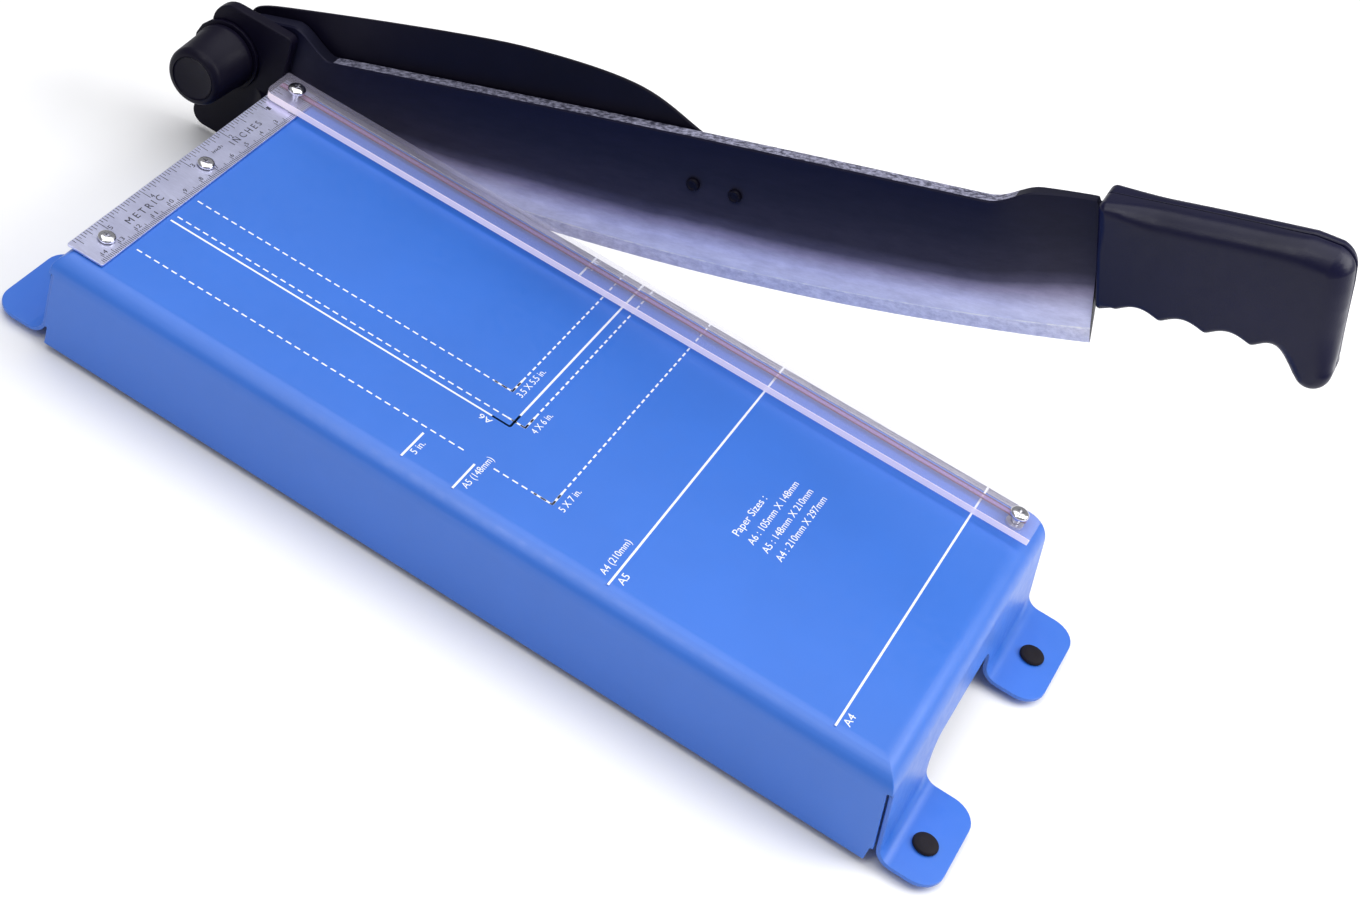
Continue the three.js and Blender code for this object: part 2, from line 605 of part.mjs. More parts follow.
/** Top edge: round the eye, a raised hinge end, the long spine, and the shoulder at the tang. */
function topHeight(s) {
  if (s < 0) return eyeHeight(s);
  const { hump, stepFrom, stepTo, height, crown, span, shoulder } = SPINE;
  const raised = BLADE.eyeR + hump * smoothstep(s, 0, 14);
  const step = THREE.MathUtils.clamp((s - stepFrom) / (stepTo - stepFrom), 0, 1);
  if (s < stepTo) return raised + (height - raised) * step;
  return height + crown * Math.sin((Math.PI * (s - stepTo)) / span)
    + shoulder * smoothstep(s, stepTo + span, stepTo + span + 18);
}

/** Sideways step that carries the tang clear of the table; the cutting edge stays in plane. */
const tangShift = (s, h) => TANG.shift * smoothstep(s, 322, 348) * smoothstep(h, -42, -24);

/** One section of the blade at distance s: outer face, hollow inner face, land and bevel. */
function bladeSection(s) {
  const inTang = s > BLADE.tip + 0.5;
  const [top, edge] = inTang ? [TANG.top, TANG.bottom] : [topHeight(s), edgeHeight(s)];
  const fade = smoothstep(s, 40, 70) * (1 - smoothstep(s, 312, 335));
  const land = edge + Math.min(BLADE.land, 0.4 * (top - edge));
  const heelFade = smoothstep(s, 8, 40);
  const bevel = inTang ? 0 : BLADE.bevel * heelFade;
  const thick = BLADE.thick + (TANG.thick - BLADE.thick) * smoothstep(s, 318, 346);
  const point = (x, h) => [BLADE.inner + x + tangShift(s, h), -s, h];
  const steps = 5;
  const hollow = Array.from({ length: steps + 1 }, (_, i) => {
    const along = i / steps;
    const depth = BLADE.hollow * fade * Math.sin(Math.PI * along) ** 0.7;
    return point(depth, top + (land - top) * along);
  });
  const lip = bevel > 0 ? 0.5 : thick;
  return [
    point(thick, top),
    ...hollow,
    point(0, edge),
    point(lip + (thick - lip) * (1 - heelFade), edge + 0.001),
    point(thick, edge + Math.max(bevel, 0.3)),
  ];
}

/** Hole tool across the whole arm, at a point (s, h). */
const through = (radius, [s, h]) => rod("X", radius, -2 * HANDLE.outer, 2 * HANDLE.outer, [0, -s, h]);

function makeBlade() {
  const eye = [-13.2, -12.4, -11, -9, -6.5, -3.5, 0, 0.5, 1.5, 3, 5, 8, 11, 16, 22, 30.5, 43];
  const span = Array.from({ length: 18 }, (_, i) => 55 + i * 15);
  const shoulder = [317, 322, 327, 332, 337, 342, 347, BLADE.tip];
  const stations = [...eye, ...span, ...shoulder, BLADE.tip + 0.6, 360, TANG.end];
  const body = loft(stations.map(bladeSection));
  const holes = [
    through(BUSH_R + GAP, [0, 0]),
    ...LEAF_RIVETS.map((at) => through(RIVET_HOLE_R, at)),
    ...HANDLE_SCREWS.map((at) => through(HANDLE_SCREW.tangHoleR, at)),
  ];
  return cut(body, ...holes);
}
piece(arm, "blade", makeBlade(), BLACK_PAINT);

const bladeOuter = BLADE.inner + BLADE.thick;
piece(arm, "pivot_bush", washer("X", BUSH_R, BORE_R, BLADE.inner, bladeOuter), STEEL);

// ---------- tension leaf behind the blade ----------
function makeLeaf() {
  const inPlane = ([s, h]) => new THREE.Vector2(-s, h);
  const top = [[9, 16.6], [28, 18.6], [92, 21.6], [134, 21.4], [175, 15.4], [202, 0.6], [226, -13]];
  const bottom = [[150, -30], [60, -24], [0, -LEAF.eyeR]];
  const meeting = radians(109.4); // where the eye runs into the top edge
  const outline = new THREE.Shape();
  outline.moveTo(0, -LEAF.eyeR);
  outline.absarc(0, 0, LEAF.eyeR, -Math.PI / 2, meeting - 2 * Math.PI, false);
  outline.splineThru(top.map(inPlane));
  outline.quadraticCurveTo(-231, -19, -224, -26);
  outline.splineThru(bottom.map(inPlane));
  const plate = alongX(outline, LEAF.inner, leafOuter, { curveSegments: 8 });
  const holes = LEAF_RIVETS.map((at) => through(RIVET_HOLE_R, at));
  return cut(plate, through(BORE_R, [0, 0]), ...holes);
}
piece(arm, "tension_leaf", makeLeaf(), BLACK_PAINT);

LEAF_RIVETS.forEach(([s, h], i) => {
  const outerHead = leafOuter + GAP;
  const rivet = turned("X", [
    [1, 0], [1.1, 2.2], [1.5, 3.1], [2, 3.3], [2, 2.2],
    [outerHead, 2.2], [outerHead, 3.6],
    [outerHead + 0.8, 3.2], [outerHead + 1.3, 2], [outerHead + 1.4, 0],
  ], [0, -s, h], SCREW_SEGMENTS);
  piece(arm, `leaf_rivet_${i + 1}`, rivet, BLACK_PAINT);
});

// ---------- handle ----------
/** Underside of the grip: four shallow finger grooves. */
function gripHeight(s) {
  const along = s - GRIP.ridge;
  return GRIP.height - GRIP.ripple * Math.cos((2 * Math.PI * along) / GRIP.pitch) - GRIP.slope * along;
}

function handleOutline() {
  const { start, end, top } = HANDLE;
  const corner = 3.6;
  const steps = 25;
  const grip = Array.from({ length: steps + 1 }, (_, i) => {
    const s = GRIP.start + (i * (GRIP.end - GRIP.start)) / steps;
    return [s, gripHeight(s)];
  });
  const pommel = [[414.6, -31], [417, -35], [419.2, -40]];
  return [
    ...arc(start + corner, top - corner, corner, 90, 180, 4),
    ...arc(start + corner, GRIP.height - 1.2 + corner, corner, 180, 260, 4),
    ...grip,
    ...pommel,
    ...arc(424.8, -39.6, 5.2, 200, 372, 10),
    [end, -24],
    [end - 0.4, -6],
    ...arc(end - 9, -1, 8.6, 0, 62, 5),
    [412, top - 0.3],
  ];
}

/** The whole handle: its outline stacked in layers across X, with rounded edges. */
function makeHandle() {
  const { inner, outer, round } = HANDLE;
  const outline = handleOutline();
  const angles = [0, 45, 90].map(radians);
  const near = angles.map((a) => [inner + round * (1 - Math.cos(a)), round * (1 - Math.sin(a))]);
  const far = near.map(([x, inset]) => [inner + outer - x, inset]).reverse();
  const sections = [...near, ...far].map(([x, inset]) =>
    insetOutline(outline, inset).map(([s, h]) => [x, -s, h]));
  const [middleS, middleH] = HANDLE.middle;
  return loft(sections, ([[x]]) => [x, -middleS, middleH]);
}

function handleHalves() {
  const whole = makeHandle();
  const { inner, outer, seam, start, end } = HANDLE;
  const half = (x0, x1) => whole.intersect(box([x0, -end - 1, -DEEP], [x1, 1 - start, DEEP]));
  const tangFrom = BLADE.inner + TANG.shift - GAP;
  const pocket = box(
    [tangFrom, -TANG.end - GAP, TANG.bottom - GAP],
    [seam, -start + 2, TANG.top + GAP],
  );
  const { holeR, sinkR, sinkFloor, tip } = HANDLE_SCREW;
  const hole = (radius, from, [s, h]) => rod("X", radius, from, outer + 1, [0, -s, h]);
  const shanks = HANDLE_SCREWS.map((at) => hole(holeR, tip - 0.4, at));
  const sinks = HANDLE_SCREWS.map((at) => hole(sinkR, sinkFloor, at));
  return {
    inner: cut(half(inner - 1, seam - GAP / 2), pocket, ...shanks),
    outer: cut(half(seam + GAP / 2, outer + 1), ...shanks, ...sinks),
  };
}
const halves = handleHalves();
piece(arm, "handle_inner", halves.inner, PLASTIC);
piece(arm, "handle_outer", halves.outer, PLASTIC);

HANDLE_SCREWS.forEach(([s, h], i) => {
  const { shankR, headR, sinkFloor, tip } = HANDLE_SCREW;
  const under = sinkFloor + GAP;
  const screw = turned("X", [
    [tip, 0], [tip + 1, shankR], [under, shankR], [under, headR],
    [under + 1.4, headR - 0.2], [under + 2.1, 2.6], [under + 2.3, 0],
  ], [0, -s, h], SCREW_SEGMENTS);
  piece(arm, `handle_screw_${i + 1}`, screw, STEEL);
});

// ---------- origin at the bottom centre of the whole ----------
object.updateMatrixWorld(true);
const extent = new THREE.Box3().setFromObject(object, true);
const centre = extent.getCenter(new THREE.Vector3());
design.position.set(-centre.x, -centre.y, -extent.min.z);
object.updateMatrixWorld(true);

export default object;
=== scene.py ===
import json
import math

import bmesh
import bpy
import numpy
from mathutils import Matrix, Vector
from mathutils.geometry import delaunay_2d_cdt


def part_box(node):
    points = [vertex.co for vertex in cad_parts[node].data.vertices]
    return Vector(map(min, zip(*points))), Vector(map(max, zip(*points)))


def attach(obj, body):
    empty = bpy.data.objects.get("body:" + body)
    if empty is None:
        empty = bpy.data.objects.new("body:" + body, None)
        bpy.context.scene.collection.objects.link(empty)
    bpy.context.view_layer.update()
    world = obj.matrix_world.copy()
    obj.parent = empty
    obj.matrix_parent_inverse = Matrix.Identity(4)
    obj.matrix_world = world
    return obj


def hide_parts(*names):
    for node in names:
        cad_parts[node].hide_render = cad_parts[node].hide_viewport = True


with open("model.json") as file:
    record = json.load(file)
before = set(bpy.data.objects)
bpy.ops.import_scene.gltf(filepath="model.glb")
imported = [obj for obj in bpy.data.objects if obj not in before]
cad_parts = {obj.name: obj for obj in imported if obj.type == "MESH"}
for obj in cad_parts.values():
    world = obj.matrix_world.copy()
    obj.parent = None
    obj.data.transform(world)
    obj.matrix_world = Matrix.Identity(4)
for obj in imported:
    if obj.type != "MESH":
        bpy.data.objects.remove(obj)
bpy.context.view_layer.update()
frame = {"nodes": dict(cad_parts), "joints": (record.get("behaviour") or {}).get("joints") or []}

MM = 0.001
scene = bpy.context.scene
nodes = frame["nodes"]

# ---------- the two frames ----------
ZERO = Vector((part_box("bed_knife")[1].x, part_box("ruler")[0].y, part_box("bed_knife")[1].z))
HINGE = Vector(frame["joints"][0]["pos_m"])
ARM_RAISED = math.radians(20)
TABLE = Matrix.Translation(ZERO)
ARM = Matrix.Translation(HINGE) @ Matrix.Rotation(-ARM_RAISED, 4, "X")


def table_box(node):
    """A CAD node's lowest and highest corners in the table frame, in millimetres."""
    low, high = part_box(node)
    return (low - ZERO) / MM, (high - ZERO) / MM


RULER_LOW, RULER_HIGH = table_box("ruler")
GUARD_LOW, GUARD_HIGH = table_box("paper_guard")
CAP_LOW, CAP_HIGH = table_box("spring_cap")

# ---------- sizes that the frame doesn't give ----------
INK = 0.05                      # height of a printed film
DASH, DASH_GAP = 2.3, 1.5
LINE, DASHED_LINE = 0.8, 0.65   # widths of the printed lines
CORNER_MARK = 7.5               # length of the solid strokes at a paper outline's corner
INCH = 25.4
TICK = 0.24                     # width of a ruler's division mark
INCH_TICKS = {0: 5.2, 8: 4.0, 4: 3.1, 12: 3.1}          # lengths, by sixteenths of an inch
EVEN_SIXTEENTH, ODD_SIXTEENTH = 2.4, 1.7
CENTIMETRE_TICK, FIVE_MM_TICK, MM_TICK = 3.6, 2.8, 1.8  # lengths
TICK_START = 0.25               # from the ruler's edge to its division marks
GUARD_LINES, GUARD_LINE = (-6.4, -8.9), 0.75            # X of the guard's lines, and their width
GUARD_BANDS, GUARD_BAND = (-7.65,), 1.6

FOOT = {"pad": 5.6, "pad_top": 6.6, "pad_height": 2.9, "neck": 2.7, "plug": 4.8, "plug_height": 1.9}
SHANK = 1.5                     # radius of the small screws
RULER_HEAD, GUARD_HEAD = (3.4, 1.7), (3.6, 2.0)         # radius and height
BRACKET_SCREW = {"shank": 2.5, "head": 4.6, "height": 2.6}
CAP = {"dish": 8.2, "dish_depth": 0.35, "face": 9.2, "shoulder": 9.0, "round": 3.2,
       "rim": 13.4, "rim_length": 2.6, "mouth": 11.8, "floor": 10.6, "wall": 1.8}

BLADE = {"inner": 0.3, "thick": 6, "tip": 349.6, "eye": 13.3, "hollow": 2.2, "land": 5.5, "bevel": 7,
         "lean": 0.095, "lean_from": 300, "lean_about": -37}
EDGE = {"deepest": 216, "depth": -53, "bow": 0.00049, "heel": 16}
SPINE = {"hump": 1.2, "step_from": 30.5, "step_to": 43, "height": 2, "crown": 0.9, "span": 268,
         "shoulder": 5, "corner": 0.6}
TANG = {"end": 418, "thick": 3.6, "shift": 8.2, "top": 5, "bottom": -18}
BLADE_BORE = 6.2
LIP = 0.5                       # thickness at the cutting edge
HEEL_FADE = (8, 40)             # stretches of the blade where one shape turns into another
HOLLOW_STARTS, HOLLOW_ENDS = (40, 70), (312, 335)
TANG_THINS, TANG_STEPS, TANG_STEP_HEIGHTS = (318, 346), (306, 350), (-42, -24)

HANDLE = {"start": 349.8, "end": 430, "inner": 2.4, "outer": 21, "seam": 12.8, "top": 8.3, "split": 0.3,
          "edge": 2, "band": 1.3, "chamfer": 0.3, "wider_chamfer": 0.6}
GRIP = {"start": 356.2, "end": 407, "ridge": 356.6, "pitch": 15.5, "ripple": 1.6, "height": -30,
        "slope": 0.044}
HANDLE_SCREWS = ((368, -7), (408, -9))
SCREW_WELL = {"floor": 17.7, "radius": 4.3}
RIVETS = ((199, -17.2), (215.7, -18.3))


def smoothstep(value, low, high):
    t = min(max((value - low) / (high - low), 0), 1)
    return t * t * (3 - 2 * t)


def span(first, last, count):
    """`count` numbers evenly spaced from first to last."""
    return [first + (last - first) * i / (count - 1) for i in range(count)]


def arc(a, b, radius, start, end, steps=10):
    angles = [math.radians(angle) for angle in span(start, end, steps + 1)]
    return [(a + radius * math.cos(t), b + radius * math.sin(t)) for t in angles]


# ---------- meshes ----------
def mesh_of(name, points, faces, weld=0):
    """A mesh from points in millimetres, with its faces turned outwards."""
    mesh = bpy.data.meshes.new(name)
    mesh.from_pydata([Vector(point) * MM for point in points], [], faces)
    tidy = bmesh.new()
    tidy.from_mesh(mesh)
    bmesh.ops.remove_doubles(tidy, verts=tidy.verts, dist=weld * MM)
    bmesh.ops.recalc_face_normals(tidy, faces=tidy.faces)
    tidy.to_mesh(mesh)
    tidy.free()
    mesh.shade_smooth()
    return mesh


def place(name, mesh, where, body, material=None, replaced=()):
    """Puts a mesh made in one of the two frames into the scene, riding on a body."""
    mesh.transform(where)
    piece = bpy.data.objects.new(name, mesh)
    scene.collection.objects.link(piece)
    if material:
        mesh.materials.clear()
        mesh.materials.append(material)
    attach(piece, body)
    if replaced:
        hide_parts(*replaced)
    return piece


def ring_faces(rings, count, first=0, close=True):
    """Quads that join rings of `count` points each; the ends are closed by one face each."""
    faces = []
    for ring in range(rings - 1):
        for i in range(count):
            a, b = first + ring * count + i, first + ring * count + (i + 1) % count
            faces.append((a, b, b + count, a + count))
    if close:
        faces.append(tuple(first + i for i in reversed(range(count))))
        faces.append(tuple(first + (rings - 1) * count + i for i in range(count)))
    return faces


def stack(name, rings):
    """Rings joined into a closed body."""
    points = [point for ring in rings for point in ring]
    return mesh_of(name, points, ring_faces(len(rings), len(rings[0])))


def across(axis, along, u, v):
    """A point at a distance along X, Y or Z, and (u, v) square to that axis."""
    return {"X": (along, u, v), "Y": (v, along, u), "Z": (u, v, along)}[axis]


def turned(name, axis, profile, centre=(0, 0, 0), facets=64):
    """Body of revolution; the profile is a list of (distance along, radius)."""
    centre = Vector(centre)
    angles = [math.tau * i / facets for i in range(facets)]
    rings = [
        [centre + Vector(across(axis, along, r * math.cos(t), r * math.sin(t))) for t in angles]
        for along, r in ((along, max(r, 0.02)) for along, r in profile)
    ]
    return stack(name, rings)


def rounded_profile(points, radius, steps=5):
    """A profile with every corner between its two ends rounded."""
    out = [points[0]]
    for before, corner, after in zip(points, points[1:], points[2:]):
        corner = Vector(corner)
        back, on = Vector(before) - corner, Vector(after) - corner
        reach = min(radius, back.length / 2, on.length / 2)
        start, end = corner + back.normalized() * reach, corner + on.normalized() * reach
        for t in span(0, 1, steps + 1):
            out.append(tuple(start.lerp(corner, t).lerp(corner.lerp(end, t), t)))
    return out + [points[-1]]


def flatten(piece):
    """Keeps a piece's large faces flat in the shading."""
    normals = piece.modifiers.new("flat faces", "WEIGHTED_NORMAL")
    normals.weight = 100
    normals.keep_sharp = True


def soften(piece, width, angle=35, segments=2):
    """Rounds a piece's edges."""
    bevel = piece.modifiers.new("rounded edges", "BEVEL")
    bevel.width = width * MM
    bevel.segments = segments
    bevel.limit_method = "ANGLE"
    bevel.angle_limit = math.radians(angle)
    bevel.use_clamp_overlap = False
    bevel.miter_outer = "MITER_ARC"
    flatten(piece)


def clean_copy(node, where):
    """A CAD node's mesh in a frame, with its flat faces made whole."""
    source = nodes[node].data.copy()
    source.transform(where.inverted())
    tidy = bmesh.new()
    tidy.from_mesh(source)
    bmesh.ops.remove_doubles(tidy, verts=tidy.verts, dist=0.002 * MM)
    bmesh.ops.dissolve_limit(tidy, angle_limit=math.radians(0.6), verts=tidy.verts, edges=tidy.edges)
    points = [vertex.co / MM for vertex in tidy.verts]
    tidy.verts.index_update()
    faces = [[vertex.index for vertex in face.verts] for face in tidy.faces]
    tidy.free()
    return mesh_of(node, points, faces)


def final_mesh(item):
    """An object's mesh with its modifiers applied, or a text's as a mesh."""
    bpy.context.view_layer.update()
    return bpy.data.meshes.new_from_object(item.evaluated_get(bpy.context.evaluated_depsgraph_get()))


def carve(piece, where, *cutters):
    """Cuts closed meshes, made in one of the two frames, out of a piece."""
    for mesh in cutters:
        mesh.transform(where)
        tool = bpy.data.objects.new("tool", mesh)
        scene.collection.objects.link(tool)
        cut = piece.modifiers.new("cut", "BOOLEAN")
        cut.operation = "DIFFERENCE"
        cut.solver = "EXACT"
        cut.object = tool
        result = final_mesh(piece)
        piece.modifiers.remove(cut)
        bpy.data.objects.remove(tool)
        piece.data = result


# ---------- materials ----------
class Look:
    """A procedural material round one Principled shader."""

    def __init__(self, name, tilt=0, **fixed):
        self.tilt = tilt
        self.material = bpy.data.materials.new(name)
        self.material.use_nodes = True
        self.tree = self.material.node_tree
        self.shader = self.tree.nodes["Principled BSDF"]
        for socket, value in fixed.items():
            self.shader.inputs[socket.replace("_", " ")].default_value = value
        self.where = self.tree.nodes.new("ShaderNodeTexCoord").outputs["Object"]

    def node(self, kind, inputs=(), **settings):
        made = self.tree.nodes.new("ShaderNode" + kind)
        for key, value in settings.items():
            setattr(made, key, value)
        for socket, value in dict(inputs).items():
            if isinstance(value, bpy.types.NodeSocket):
                self.tree.links.new(value, made.inputs[socket])
            else:
                made.inputs[socket].default_value = value
        return made

    def noise(self, per_mm, stretch=(1, 1, 1), detail=4, roughness=0.55):
        """Noise with `per_mm` features to a millimetre, 0 to 1, in axes that tilt with the arm."""
        scale = tuple(MM / (s * per_mm) for s in stretch)
        mapping = self.node("Mapping", {
            "Vector": self.where, "Rotation": (self.tilt, 0, 0), "Scale": scale,
        }, vector_type="TEXTURE")
        noise = self.node("TexNoise", {
            "Vector": mapping.outputs["Vector"], "Scale": 1, "Detail": detail, "Roughness": roughness,
        })
        return noise.outputs["Fac"]

    def spread(self, value, low, high, into):
        """Maps the middle of a noise to a range on one shader input."""
        node = self.node("MapRange", {
            "Value": value, "From Min": 0.3, "From Max": 0.7, "To Min": low, "To Max": high,
        })
        self.tree.links.new(node.outputs["Result"], self.shader.inputs[into])

    def ramp(self, value, *stops):
        """Colour along a value; the stops are (position, colour)."""
        node = self.node("ValToRGB", {"Fac": value})
        elements = node.color_ramp.elements
        while len(elements) < len(stops):
            elements.new(0.5)
        for element, (position, colour) in zip(elements, stops):
            element.position = position
            element.color = (*colour, 1)
        return node.outputs["Color"]

    def multiply(self, first, second):
        """One colour times another; the Mix node's colours are its sockets 6 and 7."""
        node = self.node("Mix", {0: 1.0, 6: first, 7: second}, data_type="RGBA", blend_type="MULTIPLY")
        return node.outputs[2]

    def colour(self, value):
        self.tree.links.new(value, self.shader.inputs["Base Color"])

    def bump(self, value, depth):
        """Surface relief, `depth` millimetres from the noise's lowest to its highest."""
        node = self.node("Bump", {"Height": value, "Strength": 1.0, "Distance": depth * MM})
        self.tree.links.new(node.outputs["Normal"], self.shader.inputs["Normal"])


def shade(colour, factor):
    return tuple(min(channel * factor, 1) for channel in colour)


def plain_look(name, colour, roughness, grain, depth, variation, **fixed):
    """Colour and gloss that vary a little over a fine grain."""
    look = Look(name, **fixed)
    broad = look.noise(0.02, detail=3)
    fine = look.noise(grain, detail=3)
    stops = (0.3, shade(colour, 1 - variation)), (0.7, shade(colour, 1 + variation))
    look.colour(look.ramp(broad, *stops))
    look.spread(look.noise(grain / 8), roughness - 0.05, roughness + 0.05, "Roughness")
    look.bump(fine, depth)
    return look.material


def brushed_look(name, colour, roughness, stretch, depth=0.012, contrast=0.16):
    """Steel with fine scratches, which run along the axis where the stretch is smallest."""
    look = Look(name, Metallic=1.0)
    scratches = look.noise(1.0, stretch, detail=6, roughness=0.7)
    stains = look.noise(0.06, detail=4)
    stops = (0.35, shade(colour, 1 - contrast)), (0.65, shade(colour, 1 + contrast))
    patches = look.ramp(stains, (0.3, (0.82, 0.82, 0.85)), (0.6, (1, 1, 1)))
    look.colour(look.multiply(look.ramp(scratches, *stops), patches))
    look.spread(scratches, roughness - 0.08, roughness + 0.1, "Roughness")
    look.bump(scratches, depth)
    return look.material


BLUE = (0.034, 0.16, 0.64)
DULL = {"Specular_IOR_Level": 0.13}  # black finishes that hardly shine

blue_paint = plain_look("blue paint", BLUE, 0.37, 2.2, 0.01, 0.04, Specular_IOR_Level=0.62)
white_ink = plain_look("white ink", (0.86, 0.88, 0.95), 0.5, 4, 0.01, 0.04)
dark_ink = plain_look("etched black", (0.035, 0.035, 0.06), 0.6, 4, 0.01, 0.2)
red_ink = plain_look("red ink", (0.10, 0.004, 0.03), 0.5, 4, 0.01, 0.1, **DULL)
pink_ink = plain_look("pale red ink", (0.5, 0.2, 0.42), 0.5, 4, 0.01, 0.1, Alpha=0.4)
hinge_black = plain_look("hinge black", (0.004, 0.003, 0.011), 0.45, 1.6, 0.03, 0.25, **DULL)
cap_black = plain_look("cap plastic", (0.006, 0.005, 0.014), 0.42, 2.5, 0.02, 0.2, **DULL)
grip_black = plain_look(
    "grip plastic", (0.003, 0.003, 0.026), 0.34, 1.8, 0.04, 0.18, Specular_IOR_Level=0.3,
)
rubber = plain_look("rubber", (0.014, 0.012, 0.016), 0.7, 0.9, 0.12, 0.45, **DULL)
nickel = brushed_look("bright nickel", (0.86, 0.86, 0.9), 0.16, (1, 1, 1), 0.004, 0.06)
zinc = plain_look("zinc plate", (0.55, 0.55, 0.58), 0.34, 0.8, 0.02, 0.15, Metallic=1.0)
stainless = brushed_look("stainless strip", (0.70, 0.72, 0.95), 0.4, (5, 0.3, 0.3), 0.006, 0.07)
ground_steel = brushed_look("ground knife", (0.58, 0.58, 0.66), 0.3, (4, 0.1, 4))


def blade_look():
    """Thin black coating that is ground away towards the cutting edge, with a painted reflection: bright
    low on the hollow face, black towards the top.
    """
    look = Look("blade face", -ARM_RAISED, **DULL)
    height = look.node("Attribute", attribute_name="height", attribute_type="GEOMETRY").outputs["Fac"]
    streaks = look.noise(0.35, (1, 0.25, 1), detail=7, roughness=0.7)
    wobble = look.node("MapRange", {
        "Value": look.noise(0.035, detail=5), "From Min": 0.2, "From Max": 0.8,
        "To Min": -0.016, "To Max": 0.016,
    }).outputs["Result"]
    level = look.node("Math", {0: height, 1: wobble}, operation="ADD").outputs["Value"]
    # Painted reflection by height: bright lavender at the cutting edge, where bare steel also shows, to
    # near black at the top.
    coat_and_painted_reflection = look.ramp(
        level, (0.1, (0.70, 0.72, 0.96)), (0.2, (0.60, 0.61, 0.88)), (0.29, (0.32, 0.30, 0.46)),
        (0.36, (0.085, 0.08, 0.135)), (0.44, (0.034, 0.032, 0.056)), (0.7, (0.016, 0.016, 0.034)),
        (1.0, (0.006, 0.006, 0.022)),
    )
    scuffs = look.ramp(streaks, (0.35, (0.86, 0.86, 0.88)), (0.66, (1.12, 1.12, 1.1)))
    look.colour(look.multiply(coat_and_painted_reflection, scuffs))
    look.spread(streaks, 0.4, 0.52, "Roughness")
    look.bump(look.noise(1.4, detail=5), 0.02)
    return look.material


def blotchy_look(name, dark, pale, low, high, stretch, roughness, metallic, per_mm=0.5):
    """Bare metal left by a rough cut: bright patches over duller ones."""
    look = Look(name, -ARM_RAISED, Metallic=metallic)
    patches = look.noise(per_mm, stretch, detail=6, roughness=0.75)
    look.colour(look.ramp(patches, (low, dark), (high, pale)))
    look.spread(patches, roughness - 0.08, roughness + 0.12, "Roughness")
    look.bump(patches, 0.12)
    return look.material


blade_face = blade_look()
land_steel = blotchy_look(
    "ground land", (0.56, 0.56, 0.72), (0.84, 0.84, 1.0), 0.36, 0.64, (1, 0.5, 1), 0.4, 0.15,
)
# Painted highlight: brighter steel for the strip along the land's upper border.
land_border_highlight = blotchy_look(
    "land border", (0.66, 0.68, 0.9), (0.95, 0.95, 1.0), 0.36, 0.6, (1, 0.5, 1), 0.4, 0.1,
)
spine_steel = blotchy_look(
    "rough spine", (0.06, 0.06, 0.10), (0.44, 0.44, 0.60), 0.42, 0.6, (1, 0.6, 1), 0.45, 0.3, 0.7,
)
blade_back = plain_look("blade coating", (0.010, 0.010, 0.022), 0.4, 0.9, 0.04, 0.3, **DULL)


def clear_look(name, colour, alpha, roughness, **fixed):
    """Clear moulded sheet with a faint haze and slow ripples."""
    look = Look(name, Alpha=alpha, IOR=1.49, **fixed)
    haze = look.noise(0.04, (1, 0.3, 1), detail=3)
    look.colour(look.ramp(haze, (0.3, shade(colour, 0.96)), (0.7, shade(colour, 1.03))))
    look.spread(look.noise(0.5, detail=5), roughness, roughness + 0.08, "Roughness")
    look.bump(look.noise(0.02, (1, 0.2, 1), detail=2), 0.02)
    return look.material


clear_plastic = clear_look("clear acrylic", (0.80, 0.76, 0.96), 0.13, 0.05)
# The edge is painted with a glow: an emission that stands in for light the sheet gathers and lets out at
# its edge.
painted_glow_edge = clear_look(
    "polished acrylic edge", (0.95, 0.86, 0.96), 0.85, 0.1,
    Emission_Color=(1.0, 0.84, 0.95, 1), Emission_Strength=0.3,
)

# ---------- table ----------
TAB_PLUGS = ("foot_front_left", "foot_front_right", "foot_rear_left", "foot_rear_right")


def make_table():
    piece = place("table", clean_copy("base_body", TABLE), TABLE, "base",
                  blue_paint, ["base_body"])
    soften(piece, 0.3)


def make_feet():
    """Rubber plugs: a domed top over the tab and a tapered pad under it."""
    for node in TAB_PLUGS:
        low, high = table_box(node)
        centre = ((low.x + high.x) / 2, (low.y + high.y) / 2, 0)
        pad_top = low.z + FOOT["pad_height"]
        tab_top = high.z - FOOT["plug_height"]
        profile = rounded_profile([
            (low.z, 0), (low.z, FOOT["pad"]), (pad_top, FOOT["pad_top"]), (pad_top, FOOT["neck"]),
            (tab_top, FOOT["neck"]), (tab_top, FOOT["plug"]), (tab_top + 1.2, FOOT["plug"] - 0.2),
            (high.z, FOOT["plug"] - 2.2), (high.z - 0.05, 0),
        ], 0.7)
        place(node.replace("foot", "plug_foot"), turned(node, "Z", profile, centre, 40), TABLE,
              "base", rubber, [node])


